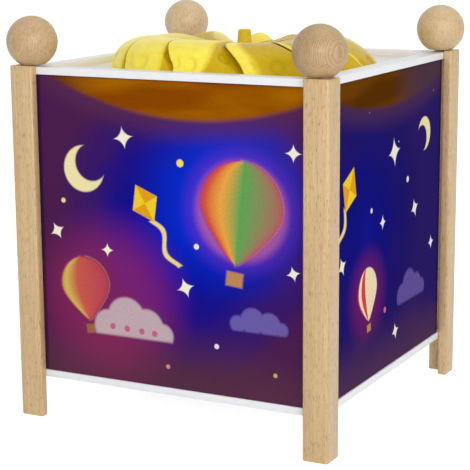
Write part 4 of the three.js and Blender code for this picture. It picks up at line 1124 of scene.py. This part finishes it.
bm = bmesh.new()
bmesh.ops.create_circle(bm, segments=20, radius=WIRE_RADIUS,
                        matrix=Matrix.Translation((-ARCH_HALF_SPAN, 0, arch_foot)))
ring = bm.edges[:]
bmesh.ops.contextual_create(bm, geom=ring)
ring = pull_end(bm, ring, bend_height - arch_foot)
ends = ring + list({vert for edge in ring for vert in edge.verts})
bent = bmesh.ops.spin(bm, geom=ends, cent=(0, 0, bend_height), axis=(0, 1, 0), angle=math.pi, steps=64)
ring = pull_end(bm, only(bmesh.types.BMEdge, bent["geom_last"]), arch_foot - bend_height)
bmesh.ops.contextual_create(bm, geom=ring)
bmesh.ops.remove_doubles(bm, verts=bm.verts, dist=SAME_PLACE)
bmesh.ops.recalc_face_normals(bm, faces=bm.faces)
arch = finish_piece("bent_wire_arch", bm, zinc_steel, "spindle", "wire_arch", 50)
print("wire arch:", len(arch.data.polygons), "faces")

# %% [markdown]
# The bulb is a small opal globe: white glass that glows evenly when it is lit. It is blown, so its
# wall is even, and it is a body of revolution again, spun from its profile outside and inside.

# %% Bulb
GLOBE_RADIUS, NECK_RADIUS, NECK_LENGTH, GLASS_WALL = 22.5, 5.8, 10, 0.8
SWIRL_WIDTH, BULB_GLOW, ARC_START, ARC_STEPS = 9, 0.3, 0.75, 28
foot, top = (in_mm(corner.z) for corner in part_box("bulb_glass"))
globe_middle = top - GLOBE_RADIUS


def glass_profile(inset):
    line = [(NECK_RADIUS - inset, foot), (NECK_RADIUS - inset, foot + NECK_LENGTH)]
    start, radius = -math.acos(NECK_RADIUS / GLOBE_RADIUS) * ARC_START, GLOBE_RADIUS - inset
    for step in range(ARC_STEPS):
        angle = start + (math.pi / 2 - start) * step / ARC_STEPS
        line.append((radius * math.cos(angle), globe_middle + radius * math.sin(angle)))
    return line + [(0, globe_middle + radius)]


material, tree, shader = start_material("opal_glass_blown", 0.12)
place = add_node(tree, "TexCoord", out="Object")
swirl = add_node(tree, "TexNoise", {"Vector": place, "Scale": 1 / mm(SWIRL_WIDTH), "Detail": 2.0})
tint = add_node(tree, "Mix", {0: swirl, 6: "#F1ECDF", 7: "#FBF9F4"}, **COLOUR_MIX)
feed(shader, {"Base Color": tint, "Emission Color": "#FFF1D2", "Emission Strength": BULB_GLOW,
              "Coat Weight": 0.5})
scatter_light(shader, 0.5, 4, 4, 3.5)
bm = bmesh.new()
outside, inside = glass_profile(0), glass_profile(GLASS_WALL)
spin_profile(bm, outside + inside[::-1] + outside[:1], 72)
finish_piece("opal_bulb", bm, material, "bulb", "bulb_glass", 60)
print("bulb top:", round(top, 1), "mm")

# %% [markdown]
# The lampholder, sockets, screws and grommet keep the frame's solids, copied, joined and with their
# edges softened. The holder is glossy moulded plastic. The ring that insulates the bulb's contact is
# black glass, poured in and a little wavy, and the grommet is black rubber with a fine grey bloom.
# These last two are a dark colour clouded by a noise, which also moves the surface a little.

# %% Small parts
def make_clouded(name, roughness, cloud_mm, dark, pale, strength, depth):
    material, tree, shader = start_material(name, roughness)
    place = add_node(tree, "TexCoord", out="Object")
    cloud = add_node(tree, "TexNoise", {"Vector": place, "Scale": 1 / mm(cloud_mm), "Detail": 3.0})
    tint = add_node(tree, "Mix", {0: cloud, 6: dark, 7: pale}, **COLOUR_MIX)
    bump = add_node(tree, "Bump", {"Height": cloud, "Strength": strength, "Distance": mm(depth)})
    feed(shader, {"Base Color": tint, "Normal": bump})
    return material


moulded_white = make_lacquer("moulded_white_abs", "#E9E9E4", 0.3, peel_mm=1.2, peel_strength=0.12)
black_glass = make_clouded("black_insulating_glass_poured", 0.12, 2.5, "#101013", "#232329", 0.25, 0.1)
black_rubber = make_clouded("black_rubber_moulded", 0.75, 0.8, "#1E1E20", "#38383A", 0.3, 0.05)
# Each small part has its material, body and slot, and the bevel of its edges in millimetres.
SMALL_PARTS = {
    "holder_pad": (moulded_white, "lantern", "white_plastic", 0.3),
    "holder_shell": (moulded_white, "lantern", "white_plastic", 0),
    "thread_sleeve": (bright_brass, "lantern", "brass", 0),
    "centre_contact": (bright_brass, "lantern", "brass", 0.1),
    "arch_socket_left": (bright_brass, "lantern", "brass", 0.2),
    "arch_socket_right": (bright_brass, "lantern", "brass", 0.2),
    "cord_grommet": (black_rubber, "lantern", "rubber", 0.35),
    "bulb_cap": (bright_brass, "bulb", "brass", 0),
    "bulb_tip": (black_glass, "bulb", "black_glass", 0.2),
    "needle": (zinc_steel, "spindle", "steel", 0),
    "needle_ferrule": (bright_brass, "spindle", "brass", 0.15),
    "pivot_cup": (bright_brass, "drum", "brass", 0.15),
}
for screw in ["holder_screw_left", "holder_screw_right"] + [f"ball_screw_{corner}" for corner in CORNERS]:
    SMALL_PARTS[screw] = (zinc_steel, "lantern", "steel", 0.1)
for node, (finish, body, slot, ease) in SMALL_PARTS.items():
    bm = copy_of_node(node)
    if ease:
        soften(bm, mm(ease), 2, degrees=50)
    finish_piece(f"finished_{node}", bm, finish, body, node, 40)
print("small parts:", len(SMALL_PARTS))

# %% [markdown]
# Last, the scene is brought up to date. The box round the finished lantern has to agree with the
# frame's own box, because a finish adds looks and no size.

# %% Sizes
bpy.context.view_layer.update()
